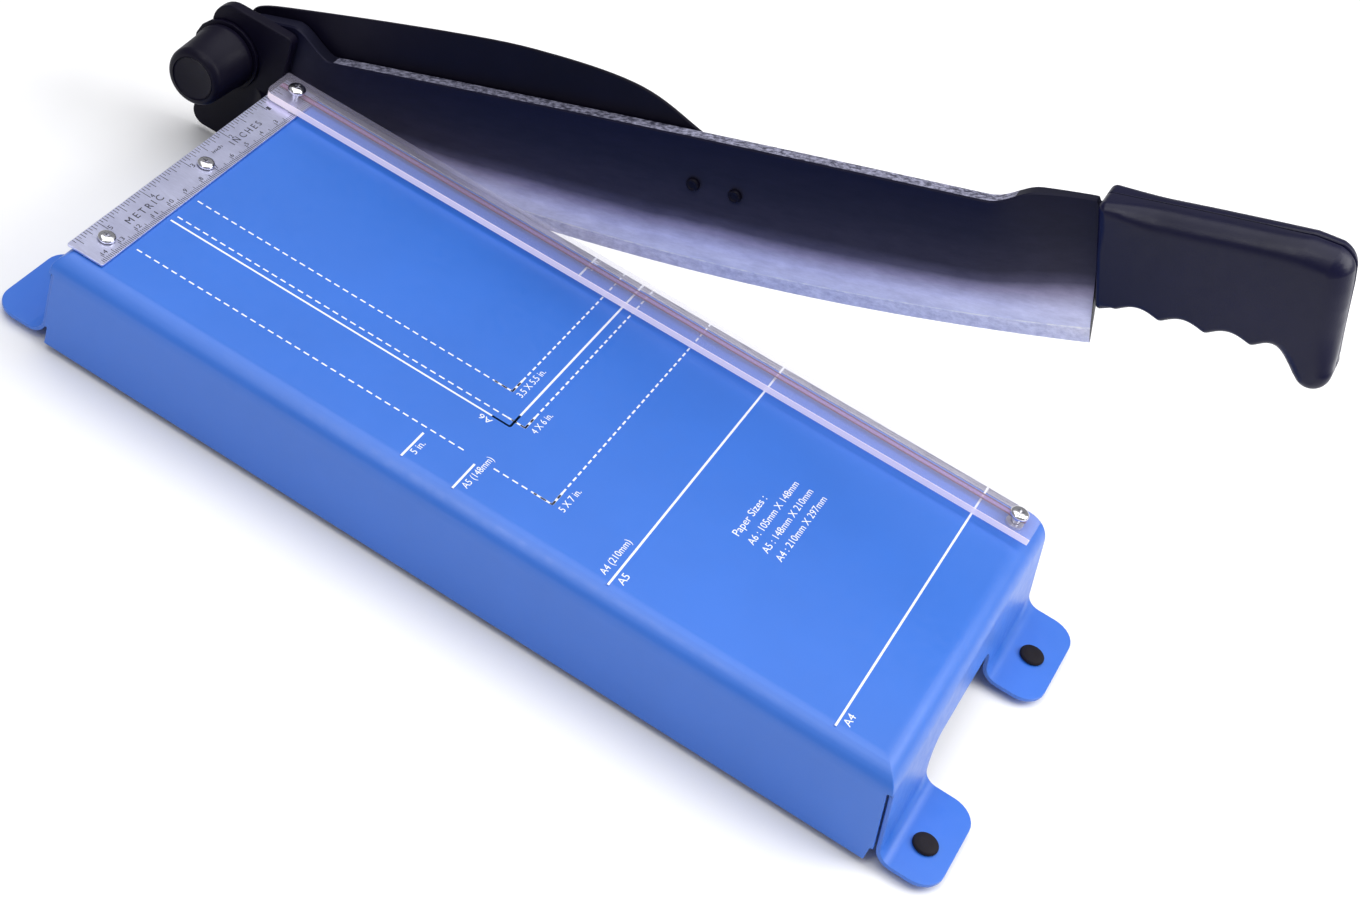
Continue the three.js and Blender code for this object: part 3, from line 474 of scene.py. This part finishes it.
# ---------- printing ----------
class Print:
    """Thin films of ink on a flat face, gathered into one mesh."""

    def __init__(self, level):
        self.level = level
        self.points, self.faces = [], []

    def bar(self, start, end, width=LINE):
        start, end = Vector(start), Vector(end)
        side = (end - start).orthogonal().normalized() * (width / 2)
        first = len(self.points)
        for z in (self.level, self.level + INK):
            for corner in (start - side, end - side, end + side, start + side):
                self.points.append((*corner, z))
        self.faces += ring_faces(2, 4, first)

    def dashes(self, start, end):
        start, end = Vector(start), Vector(end)
        length = (end - start).length
        ahead = (end - start).normalized()
        at = 0
        while at < length:
            self.bar(start + ahead * at, start + ahead * min(at + DASH, length), DASHED_LINE)
            at += DASH + DASH_GAP

    def text(self, words, start, end, height):
        """Capitals `height` tall on a baseline from start to end, reading that way."""
        start, end = Vector(start), Vector(end)
        ahead = (end - start).normalized()
        up = Vector((-ahead.y, ahead.x))
        letters = letter_mesh(words)
        cap = max(v.co.y for v in letter_mesh("H").vertices)
        left = min(v.co.x for v in letters.vertices)
        right = max(v.co.x for v in letters.vertices)
        stretch = (end - start).length / (right - left)
        first = len(self.points)
        for v in letters.vertices:
            flat = start + ahead * ((v.co.x - left) * stretch) + up * (v.co.y * height / cap)
            self.points.append((*flat, self.level + INK * (v.co.z > 0)))
        self.faces += [tuple(first + i for i in face.vertices) for face in letters.polygons]

    def lay(self, name, material):
        mesh = mesh_of(name, self.points, self.faces)
        mesh.shade_flat()
        place(name, mesh, TABLE, "base", material)


def letter_mesh(words):
    """Words as a solid mesh in the text's own units, from Z below zero to Z above it."""
    curve = bpy.data.curves.new(words, "FONT")
    curve.body = words
    curve.extrude = 0.1
    curve.resolution_u = 3
    holder = bpy.data.objects.new(words, curve)
    scene.collection.objects.link(holder)
    mesh = final_mesh(holder)
    bpy.data.objects.remove(holder)
    return mesh


def corner_mark(ink, width, length):
    """Solid strokes at the free corner of a sheet that lies at the fence and the cutting edge."""
    corner = (-width, -length)
    ink.bar((-width, -length + CORNER_MARK), corner)
    ink.bar(corner, (-width + CORNER_MARK, -length))


def paper_outline(ink, width, length, start, draw):
    """Long side and end of such a sheet, drawn as bars or dashes."""
    corner = (-width, -length)
    draw((-width, -start), corner)
    draw(corner, (0, -length))
    corner_mark(ink, width, length)


def make_table_print():
    ink = Print(0)
    paper_outline(ink, 3.5 * INCH, 5.5 * INCH, 2.2, ink.dashes)
    paper_outline(ink, 4 * INCH, 6 * INCH, 2.2, ink.dashes)
    paper_outline(ink, 105, 148, 1.6, ink.bar)
    # the 5 x 7 in. outline, whose long side stops short of a label
    ink.dashes((-5 * INCH, -2.6), (-5 * INCH, -142.5))
    ink.dashes((-5 * INCH, -154), (-5 * INCH, -7 * INCH))
    ink.dashes((-5 * INCH, -7 * INCH), (0, -7 * INCH))
    corner_mark(ink, 5 * INCH, 7 * INCH)
    for length in (210, 297):
        ink.bar((-145.5, -length), (0, -length))
    ink.bar((-145, -5 * INCH), (-130, -5 * INCH))
    ink.bar((-145.3, -148), (-130, -148))
    ink.bar((-14.8, -5 * INCH), (0, -5 * INCH))
    labels = (      # words, start and end of the baseline, height of the capitals
        ("3.5 X 5.5 in.", (-89.2, -144), (-71, -144), 2.6),
        ("4 X 6 in.", (-101.5, -157), (-88.9, -157), 2.6),
        ("5 X 7 in.", (-127.3, -182.8), (-114.3, -182.8), 2.6),
        ("A6", (-106.8, -142), (-106.8, -137), 2.6),
        ("5 in.", (-141, -130.5), (-134.1, -130.5), 2.6),
        ("A5 (148mm)", (-142.1, -152), (-123.2, -152), 2.6),
        ("A4 (210mm)", (-142.4, -207.3), (-122.4, -207.3), 2.6),
        ("A5", (-142.2, -214.3), (-136.8, -214.3), 2.8),
        ("A4", (-142.8, -301.2), (-137.2, -301.2), 2.8),
        ("5 in.", (-8.3, -129.3), (-0.7, -129.3), 2.6),
        ("Paper Sizes :", (-92.4, -234.9), (-68, -234.9), 2.9),
        ("A6 : 105mm X 148mm", (-92.5, -240.8), (-52.6, -240.8), 2.7),
        ("A5 : 148mm X 210mm", (-92.4, -246.5), (-52.2, -246.5), 2.7),
        ("A4 : 210mm X 297mm", (-92.4, -252), (-51.9, -252), 2.7),
    )
    for words, start, end, height in labels:
        ink.text(words, start, end, height)
    ink.lay("table_print", white_ink)


# ---------- ruler ----------
def inset_outline(outline, distances):
    """The outline, which runs anticlockwise, moved inwards by each point's own distance."""
    points = [Vector(point) for point in outline]
    moved = []
    for i, point in enumerate(points):
        before = (point - points[i - 1]).normalized()
        after = (points[(i + 1) % len(points)] - point).normalized()
        inward = Vector((-before.y - after.y, before.x + after.x)).normalized()
        stretch = max(inward.dot(Vector((-before.y, before.x))), 0.5)
        moved.append(point + inward * (distances[i] / stretch))
    return moved


def rounded_corners(x0, x1, y0, y1, radii, steps=8):
    """Rectangle with rounded corners, anticlockwise from the one at (x0, y0)."""
    r0, r1, r2, r3 = radii
    return [
        *arc(x0 + r0, y0 + r0, r0, 180, 270, steps), *arc(x1 - r1, y0 + r1, r1, 270, 360, steps),
        *arc(x1 - r2, y1 - r2, r2, 0, 90, steps), *arc(x0 + r3, y1 - r3, r3, 90, 180, steps),
    ]


def plate(name, outline, bottom, top, edge, steps=3):
    """Flat plate with its upper and lower edges rounded."""
    layers = []
    for angle in (math.radians(a) for a in span(0, 90, steps + 1)):
        layers.append((bottom + edge * (1 - math.cos(angle)), edge * (1 - math.sin(angle))))
    layers += [(bottom + top - z, inset) for z, inset in reversed(layers)]
    rings = [
        [(*point, z) for point in inset_outline(outline, [inset] * len(outline))]
        for z, inset in layers
    ]
    return stack(name, rings)


def make_ruler():
    outline = rounded_corners(RULER_LOW.x, RULER_HIGH.x, RULER_LOW.y, RULER_HIGH.y, [0.8] * 4)
    piece = place("ruler_strip", plate("ruler", outline, RULER_LOW.z, RULER_HIGH.z, 0.15), TABLE,
                  "base", stainless, ["ruler"])
    soften(piece, 0.03, 60, 1)

    ink = Print(RULER_HIGH.z)
    last_inch_tick = int(-RULER_LOW.x / INCH * 16)
    for tick in range(int(-RULER_HIGH.x / INCH * 16) + 1, last_inch_tick):
        x = -tick * INCH / 16
        length = INCH_TICKS.get(tick % 16, EVEN_SIXTEENTH if tick % 2 == 0 else ODD_SIXTEENTH)
        ink.bar((x, RULER_HIGH.y - TICK_START), (x, RULER_HIGH.y - TICK_START - length), TICK)
    for mm in range(int(-RULER_HIGH.x) + 1, int(-RULER_LOW.x)):
        length = CENTIMETRE_TICK if mm % 10 == 0 else FIVE_MM_TICK if mm % 5 == 0 else MM_TICK
        ink.bar((-mm, RULER_LOW.y + TICK_START), (-mm, RULER_LOW.y + TICK_START + length), TICK)
    inch_line, centimetre_line = RULER_HIGH.y - 6.3, RULER_LOW.y + 2.9     # baselines
    name_line, unit_line = RULER_LOW.y + 6.4, RULER_LOW.y + 8.9
    for inch in range(1, 6):
        x = -inch * INCH
        ink.text(str(inch), (x + 0.6, inch_line), (x + 2.0, inch_line), 2.0)
    for centimetre in range(1, 15):
        x = -centimetre * 10
        width = 1.3 if centimetre < 10 else 2.7
        ink.text(str(centimetre), (x + 0.6, centimetre_line), (x + 0.6 + width, centimetre_line), 1.8)
    ink.text("inch", (-63, unit_line), (-57, unit_line), 1.5)
    ink.text("M E T R I C", (-119, name_line), (-98, name_line), 2.8)
    ink.text("I N C H E S", (-53, name_line), (-34, name_line), 2.8)
    ink.lay("ruler_scale", dark_ink)


# ---------- screws ----------
def cross_recess(top, reach, width, depth):
    """Points and faces of two crossed bars, which taper downwards, for a screw head's recess."""
    bars = []
    for along, wide in ((reach, width), (width, reach)):
        points = [(x * s, y * s, z) for z, s in ((top - depth, 0.55), (top + 1, 1.15))
                  for x, y in ((-along, -wide), (along, -wide), (along, wide), (-along, wide))]
        bars.append((points, ring_faces(2, 4)))
    return bars


def domed_screw(node, name, head_radius, head_height):
    """Screw down through the table, with a domed head and a cross recess."""
    low, high = table_box(node)
    centre = ((low.x + high.x) / 2, (low.y + high.y) / 2, 0)
    under = high.z - head_height
    dome = [
        (under + head_height * (0.28 + 0.72 * math.sin(t)), head_radius * math.cos(t) ** 0.62)
        for t in (math.radians(a) for a in span(0, 90, 13))
    ]
    profile = [(low.z, 0), (low.z, SHANK), (under, SHANK), (under, head_radius - 0.15)] + dome
    piece = place(name, turned(node, "Z", profile, centre, 48), TABLE, "base",
                  nickel, [node])
    cutters = []
    for points, faces in cross_recess(high.z, 1.75, 0.42, 1.15):
        moved = [Vector(point) + Vector(centre) for point in points]
        cutters.append(mesh_of("recess", moved, faces))
    carve(piece, TABLE, *cutters)
    piece.data.set_sharp_from_angle(angle=math.radians(40))


def make_screws():
    for i in (1, 2):
        domed_screw(f"ruler_screw_{i}", f"ruler_dome_screw_{i}", *RULER_HEAD)
    for where in ("front", "rear"):
        domed_screw(f"guard_screw_{where}", f"guard_dome_screw_{where}", *GUARD_HEAD)


# ---------- paper guard ----------
def make_guard():
    outline = rounded_corners(
        GUARD_LOW.x, GUARD_HIGH.x, GUARD_LOW.y, GUARD_HIGH.y, (0.6, 0.6, 0.6, 4),
    )
    mesh = plate("guard", outline, GUARD_LOW.z, GUARD_HIGH.z, 0.25)
    piece = place("clear_guard", mesh, TABLE, "base", clear_plastic, ["paper_guard"])
    mesh.materials.append(painted_glow_edge)
    for face in mesh.polygons:
        # the painted glow goes only on the side faces that face -X
        face.material_index = int(face.normal.x < -0.7)
    soften(piece, 0.03, 60, 1)
    y0, y1 = GUARD_LOW.y + 4.5, GUARD_HIGH.y - 0.6
    for name, material, places, width in (
        ("guard_red_lines", red_ink, GUARD_LINES, GUARD_LINE),
        ("guard_pale_band", pink_ink, GUARD_BANDS, GUARD_BAND),
    ):
        ink = Print(GUARD_LOW.z - 2 * INK)
        for x in places:
            ink.bar((x, y0), (x, y1), width)
        ink.lay(name, material)


# ---------- bed knife ----------
def make_knife():
    piece = place("knife_bar", clean_copy("bed_knife", TABLE), TABLE, "base",
                  ground_steel, ["bed_knife"])
    soften(piece, 0.15)


# ---------- hinge ----------
def cap_profile():
    """The cap as (x, radius): its dished end, rounded shoulder, flared side, rim and inside."""
    end, mouth, rim, curve = CAP_LOW.x, CAP_HIGH.x, CAP["rim"], CAP["round"]
    shoulder = [(end + curve * (1 - math.sin(t)), CAP["shoulder"] + curve * math.cos(t))
                for t in (math.radians(a) for a in span(90, 0, 9))]
    dish, floor = end + CAP["dish_depth"], end + CAP["wall"]
    return [
        (dish, 0), (dish, CAP["dish"]), (end, CAP["face"]), *shoulder,
        (mouth - curve, rim - 0.5), (mouth - CAP["rim_length"], rim - 0.05), (mouth - 0.3, rim),
        (mouth, rim - 0.3), (mouth, CAP["mouth"]), (floor, CAP["floor"]), (floor, 0),
    ]


def make_hinge():
    bracket = place("hinge_casting", clean_copy("hinge_bracket", TABLE), TABLE, "base",
                    hinge_black, ["hinge_bracket"])
    soften(bracket, 0.7, segments=3)
    hinge = (0, *((HINGE - ZERO) / MM).yz)
    place("hinge_cap", turned("cap", "X", cap_profile(), hinge, 96), TABLE, "base",
          cap_black, ["spring_cap"])
    for node, width, slot, look in (
        ("seat_washer", 0.3, "black_paint", hinge_black),
        ("head_washer", 0.3, "zinc_steel", zinc),
        ("pivot_bolt", 0.4, "zinc_steel", zinc),
    ):
        soften(place(f"rounded_{node}", clean_copy(node, TABLE), TABLE, "base", look, [node]), width)
    shank, head, height = BRACKET_SCREW["shank"], BRACKET_SCREW["head"], BRACKET_SCREW["height"]
    for i in (1, 2):
        node = f"bracket_screw_{i}"
        low, high = table_box(node)
        centre = ((low.x + high.x) / 2, 0, (low.z + high.z) / 2)
        under = high.y - height
        dome = [(under + height * math.sin(t), head * math.cos(t) ** 0.6)
                for t in (math.radians(a) for a in span(8, 90, 10))]
        profile = [(low.y, 0), (low.y, shank), (under, shank), (under, head - 0.1)] + dome
        place(f"bracket_dome_screw_{i}", turned(node, "Y", profile, centre, 40), TABLE, "base",
              hinge_black, [node])


# ---------- blade ----------
def eye_height(s):
    """Half height of the round eye behind the hinge axis."""
    return math.sqrt(max(BLADE["eye"] ** 2 - s * s, 1))


def edge_height(s):
    """Cutting edge: a heel that curves down from the eye, then one long shallow belly."""
    if s < 0:
        return -eye_height(s)
    belly = EDGE["depth"] + EDGE["bow"] * (s - EDGE["deepest"]) ** 2
    heel = math.sqrt(1 - (1 - min(s / EDGE["heel"], 1)) ** 2)
    return -BLADE["eye"] + (belly + BLADE["eye"]) * heel


def top_height(s):
    """Top edge: round the eye, a raised hinge end, the long spine and the shoulder at the tang."""
    if s < 0:
        return eye_height(s)
    step_from, step_to = SPINE["step_from"], SPINE["step_to"]
    raised = BLADE["eye"] + SPINE["hump"] * smoothstep(s, 0, 14)
    step = smoothstep(s, step_from - 2, step_to + 2)
    if s < step_to + 2:
        return raised + (SPINE["height"] - raised) * step
    shoulder_from = step_to + SPINE["span"]
    return (SPINE["height"] + SPINE["crown"] * math.sin(math.pi * (s - step_to - 2) / SPINE["span"])
            + SPINE["shoulder"] * smoothstep(s, shoulder_from, shoulder_from + 18))


def tang_shift(s, h):
    """Sideways step that carries the tang clear of the table; the cutting edge stays in plane."""
    return TANG["shift"] * smoothstep(s, *TANG_STEPS) * smoothstep(h, *TANG_STEP_HEIGHTS)


def tip_lean(s, h):
    """The blade's end leans: its top is nearer the hinge than its cutting corner."""
    return -BLADE["lean"] * (h - BLADE["lean_about"]) * smoothstep(s, BLADE["lean_from"], BLADE["tip"])


HOLLOW_STEPS, BACK_STEPS = 18, 8
LAND_STEPS = (0.1, 0.55, 1)     # shares of the land; the first is the bright line at its upper border, a painted highlight along that edge
COATING_AND_PAINTED_REFLECTION, LAND, BARE_SPINE, BACK, LAND_BORDER_HIGHLIGHT = range(5)     # the blade's material slots


def blade_section(s):
    """
    One section at distance s: spine, hollow inner face, land, bevel and outer face. Each point
    comes with its share of the height from the cutting edge to the top.
    """
    in_tang = s > BLADE["tip"] + 0.5
    top, edge = (TANG["top"], TANG["bottom"]) if in_tang else (top_height(s), edge_height(s))
    fade = smoothstep(s, *HOLLOW_STARTS) * (1 - smoothstep(s, *HOLLOW_ENDS))
    land = edge + min(BLADE["land"], 0.4 * (top - edge))
    heel_fade = smoothstep(s, *HEEL_FADE)
    bevel = max(0 if in_tang else BLADE["bevel"] * heel_fade, 0.3)
    thick = BLADE["thick"] + (TANG["thick"] - BLADE["thick"]) * smoothstep(s, *TANG_THINS)
    lip = LIP + (thick - LIP) * (1 - heel_fade) if not in_tang else thick
    corner = SPINE["corner"]
    section = [(thick - corner, top), (corner, top)]
    for t in span(0, 1, HOLLOW_STEPS + 1):
        depth = BLADE["hollow"] * fade * math.sin(math.pi * t) ** 0.7
        section.append((depth, top - corner + (land - top + corner) * t))
    section += [(0, land + (edge - land) * t) for t in LAND_STEPS]
    section += [(lip, edge + 0.001)]
    outer_from = edge + bevel
    section += [(thick, outer_from + (top - corner - outer_from) * t) for t in span(0, 1, BACK_STEPS + 1)]
    points = [(BLADE["inner"] + x + tang_shift(s, h), -s - tip_lean(s, h), h) for x, h in section]
    shares = [(h - edge) / (top - edge) for _, h in section]
    return points, shares


def make_blade():
    eye = [-13.2, -13, -12.6, -12, -11, -9.5, -8, -6, -4, -2, 0, 0.4, 0.9, 1.6, 2.5, 3.6, 5]
    stations = eye + span(6.5, 348, 150) + [BLADE["tip"], BLADE["tip"] + 0.6] + span(352, TANG["end"], 12)
    sections = [blade_section(s) for s in stations]
    mesh = stack("blade", [points for points, _ in sections])
    heights = mesh.attributes.new("height", "FLOAT", "POINT")
    heights.data.foreach_set("value", [share for _, shares in sections for share in shares])
    for material in (blade_face, land_steel, spine_steel, blade_back, land_border_highlight):
        mesh.materials.append(material)
    count = len(sections[0][0])
    land_first = 2 + HOLLOW_STEPS
    for face in mesh.polygons:
        if len(face.vertices) != 4:
            face.material_index = BACK
            continue
        ring, at = min(face.vertices) // count, min(v % count for v in face.vertices)
        if max(v % count for v in face.vertices) - at > 1:
            at = count - 1
        s = stations[ring]
        if at == 0:
            bare = SPINE["step_to"] + 1 < s < SPINE["step_to"] + SPINE["span"] + 8
            face.material_index = BARE_SPINE if bare else BACK
        elif s == BLADE["tip"]:
            face.material_index = BACK
        elif at < land_first:
            # the hollow face: coating with its painted reflection
            face.material_index = COATING_AND_PAINTED_REFLECTION
        elif at == land_first and s > 40:
            face.material_index = LAND_BORDER_HIGHLIGHT
        elif at <= land_first + len(LAND_STEPS) + 1 and s > 12:
            face.material_index = LAND
        else:
            face.material_index = BACK
    piece = place("blade_arm", mesh, ARM, "arm", None, ["blade"])
    piece.data.set_sharp_from_angle(angle=math.radians(32))
    bore = turned("bore", "X", [(-5, 0), (-5, BLADE_BORE), (20, BLADE_BORE), (20, 0)], facets=48)
    carve(piece, ARM, bore)


def make_leaf():
    leaf = place("tension_plate", clean_copy("tension_leaf", ARM), ARM, "arm",
                 hinge_black, ["tension_leaf"])
    soften(leaf, 0.3)
    for i, (s, h) in enumerate(RIVETS, 1):
        dished_head = [(0.9, 0), (0.85, 1.3), (0.5, 1.7), (0.6, 2.3), (1.3, 2.7), (2.2, 2.7)]
        shank = [(2.2, 2.2), (8.4, 2.2)]
        domed_head = [(8.4, 3.6), (9.1, 3.3), (9.8, 2), (9.85, 0)]
        profile = rounded_profile(dished_head + shank + domed_head, 0.5)
        mesh = turned("rivet", "X", profile, (0, -s, h), 32)
        place(f"leaf_rivet_head_{i}", mesh, ARM, "arm", hinge_black, [f"leaf_rivet_{i}"])


# ---------- handle ----------
def grip_height(s):
    """Underside of the grip: four finger arches between narrow ridges."""
    along = s - GRIP["ridge"]
    arch = math.sqrt(math.sin(math.pi * along / GRIP["pitch"]) ** 2 + 0.04)
    return GRIP["height"] + GRIP["ripple"] * (2 * arch - 1) - GRIP["slope"] * along


def handle_outline():
    """The handle's outline as (s, h), anticlockwise from its upper corner beside the blade."""
    start, end, top = HANDLE["start"], HANDLE["end"], HANDLE["top"]
    lean, corner, heel = 2.6, 2.6, 2
    heel_height = GRIP["height"] - 0.2
    front = [(start - lean * (1 - t), top - corner + (heel_height - top + corner) * t)
             for t in span(0.05, 0.95, 20)]
    grip = [(s, grip_height(s)) for s in span(GRIP["start"], GRIP["end"], 72)]
    hook = [(408.4, -31.1), (409.8, -31.2), (411.1, -31.8), (412.3, -32.9), (413.4, -34.3),
            (414.6, -36.1), (415.9, -38.2), (417.2, -40.4)]
    end_face = [(end + 1.1 * t, -38 + 32 * t) for t in span(0.08, 0.97, 14)]
    top_edge = [(s, top - 0.3 * smoothstep(s, 380, 414)) for s in span(417, 354, 26)]
    return [
        *arc(start - lean + corner, top - corner, corner, 90, 180, 8), *front,
        *arc(start + heel, heel_height, heel, 180, 262, 6), *grip,
        *hook, *arc(423.8, -39, 6.2, 212, 372, 22), *end_face,
        *arc(end - 8, -2.05, 9, 6, 68, 14), *top_edge,
    ]


def edge_radius(s, h, fullest):
    """Rounding of the handle's side edges: fuller along the top, and fullest at the upper end."""
    top = smoothstep(h, -12, 0) * smoothstep(s, HANDLE["start"] - 12, HANDLE["start"] + 20)
    end = smoothstep(s, 404, 427) * smoothstep(h, -54, -22)
    along_top = HANDLE["edge"] + (fullest / 2 + 0.8) * top
    return along_top + (fullest - along_top) * end


def outline_gaps(points, outline):
    """Each point's distance to a closed outline."""
    points = numpy.array([tuple(point) for point in points])[:, None]
    starts = numpy.array([tuple(point) for point in outline])[None]
    sides = numpy.roll(starts, -1, axis=1) - starts
    shares = ((points - starts) * sides).sum(2) / (sides ** 2).sum(2)
    nearest = starts + numpy.clip(shares, 0, 1)[..., None] * sides
    return numpy.linalg.norm(points - nearest, axis=2).min(1)


def handle_half(name, face, seam):
    """
    A side face that rolls over into the wall, and a chamfer where the two halves meet. The face
    is triangulated between copies of the outline set inwards, those past the rounding among them.
    """
    inwards = math.copysign(1, seam - face)
    fullest = abs(seam - face) - HANDLE["band"]
    outline = handle_outline()
    radii = [edge_radius(*point, fullest) for point in outline]
    insets = [[r * (1 - math.cos(math.radians(angle))) for r in radii] for angle in span(9, 90, 10)]
    insets += [[inset] * len(outline) for inset in (10, 12, 14)]
    flat = [Vector(point) for point in outline]
    for distances in insets:
        moved = inset_outline(outline, distances)
        kept = zip(moved, outline_gaps(moved, outline), distances)
        flat += [point for point, gap, distance in kept if gap > distance - 0.02]
    flat, _, faces, *_ = delaunay_2d_cdt(flat, [], [list(range(len(outline)))], 1, 0.00001)
    points = []
    for (s, h), gap in zip(flat, outline_gaps(flat, outline)):
        radius = edge_radius(s, h, fullest)
        depth = radius - math.sqrt(radius ** 2 - max(radius - gap, 0) ** 2)
        points.append((face + inwards * depth, -s, h))
    chamfers = [
        HANDLE["chamfer"] + HANDLE["wider_chamfer"] * smoothstep(s, 396, 420) * smoothstep(h, -24, -4)
        for s, h in outline
    ]
    first = len(points)
    points += [(face + inwards * r, -s, h) for (s, h), r in zip(outline, radii)]
    points += [(seam - inwards * back, -s, h) for (s, h), back in zip(outline, chamfers)]
    points += [(seam, -s, h) for s, h in inset_outline(outline, chamfers)]
    faces = [tuple(face) for face in faces] + ring_faces(3, len(outline), first, close=False)
    faces.append(tuple(range(first + 2 * len(outline), first + 3 * len(outline))))
    return mesh_of(name, points, faces, weld=0.001)


def make_handle():
    seam, split = HANDLE["seam"], HANDLE["split"] / 2
    for name, node, face, joint in (
        ("handle_shell_inner", "handle_inner", HANDLE["inner"], seam - split),
        ("handle_shell_outer", "handle_outer", HANDLE["outer"], seam + split),
    ):
        piece = place(name, handle_half(name, face, joint), ARM, "arm", grip_black, [node])
        if node == "handle_outer":
            for s, h in HANDLE_SCREWS:
                floor, radius = SCREW_WELL["floor"], SCREW_WELL["radius"]
                profile = [(floor, 0), (floor, radius), (25, radius), (25, 0)]
                carve(piece, ARM, turned("well", "X", profile, (0, -s, h), 40))
        piece.data.set_sharp_from_angle(angle=math.radians(50))
        flatten(piece)
    for i, (s, h) in enumerate(HANDLE_SCREWS, 1):
        profile = rounded_profile([
            (4, 0), (5, 2), (18, 2), (18, 3.9), (19.4, 3.7), (20.1, 2.6), (20.3, 0),
        ], 0.4)
        piece = place(f"handle_dome_screw_{i}", turned("screw", "X", profile, (0, -s, h), 40), ARM, "arm",
                      zinc, [f"handle_screw_{i}"])
        cutters = []
        for points, faces in cross_recess(0, 1.9, 0.45, 1.2):
            moved = [(20.3 + z, -s + x, h + y) for x, y, z in points]
            cutters.append(mesh_of("recess", moved, faces))
        carve(piece, ARM, *cutters)
        piece.data.set_sharp_from_angle(angle=math.radians(40))


# ---------- CAD pieces that keep their own shape ----------
def finish_cad_pieces():
    """The knife screws, nuts, spring and its washer, spacer and bush keep their CAD mesh, zinc plated."""
    for node in nodes.values():
        if node.hide_render:
            continue
        node.data.materials.clear()
        node.data.materials.append(zinc)


# ---------- floor, light and camera ----------
def make_stage():
    half = 4        # half the floor's side, in metres
    corners = [(-half, -half, 0), (half, -half, 0), (half, half, 0), (-half, half, 0)]
    mesh = bpy.data.meshes.new("floor")
    mesh.from_pydata(corners, [], [(0, 1, 2, 3)])
    mesh.materials.append(plain_look("pale floor", (0.93, 0.93, 0.94), 0.7, 0.2, 0.01, 0.01))
    floor = bpy.data.objects.new("floor", mesh)
    scene.collection.objects.link(floor)

    world = scene.world or bpy.data.worlds.new("studio")
    scene.world = world
    world.use_nodes = True
    background = world.node_tree.nodes["Background"]
    background.inputs["Color"].default_value = (0.97, 0.97, 1.0, 1)
    background.inputs["Strength"].default_value = 0.28

    add_softbox("top_softbox", (0.25, 0.1, 2.6), (0, 0, 0), (3.2, 3.2), 60)
    add_softbox("front_softbox", (0.35, -0.8, 0.7), (0, -0.15, 0.05), (0.7, 0.7), 7)
    add_softbox("side_softbox", (-0.85, 0.25, 1.15), (-0.05, 0.0, 0.04), (0.26, 1.0), 4.2)


def add_softbox(name, where, target, size, power):
    """Area light at a place, turned to a target; the sizes are in metres and the power in watts."""
    lamp = bpy.data.lights.new(name, "AREA")
    lamp.shape = "RECTANGLE"
    lamp.size, lamp.size_y = size
    lamp.energy = power
    holder = bpy.data.objects.new(name, lamp)
    scene.collection.objects.link(holder)
    holder.location = where
    holder.rotation_euler = (Vector(target) - Vector(where)).to_track_quat("-Z", "Y").to_euler()


def make_camera():
    lens = bpy.data.cameras.new("camera")
    lens.sensor_width = 36
    lens.lens = 63.635
    lens.shift_x = 0.1324
    lens.shift_y = -0.0401
    camera = bpy.data.objects.new("camera", lens)
    scene.collection.objects.link(camera)
    camera.location = (-0.6352, -0.1568, 0.6071)
    camera.rotation_euler = [math.radians(angle) for angle in (46.419, -14.89, -59.878)]
    scene.camera = camera
    scene.view_settings.view_transform = "Standard"


make_camera()
make_stage()
make_table()
make_feet()
make_table_print()
make_knife()
make_ruler()
make_guard()
make_screws()
make_hinge()
make_blade()
make_leaf()
make_handle()
finish_cad_pieces()

bpy.context.view_layer.update()
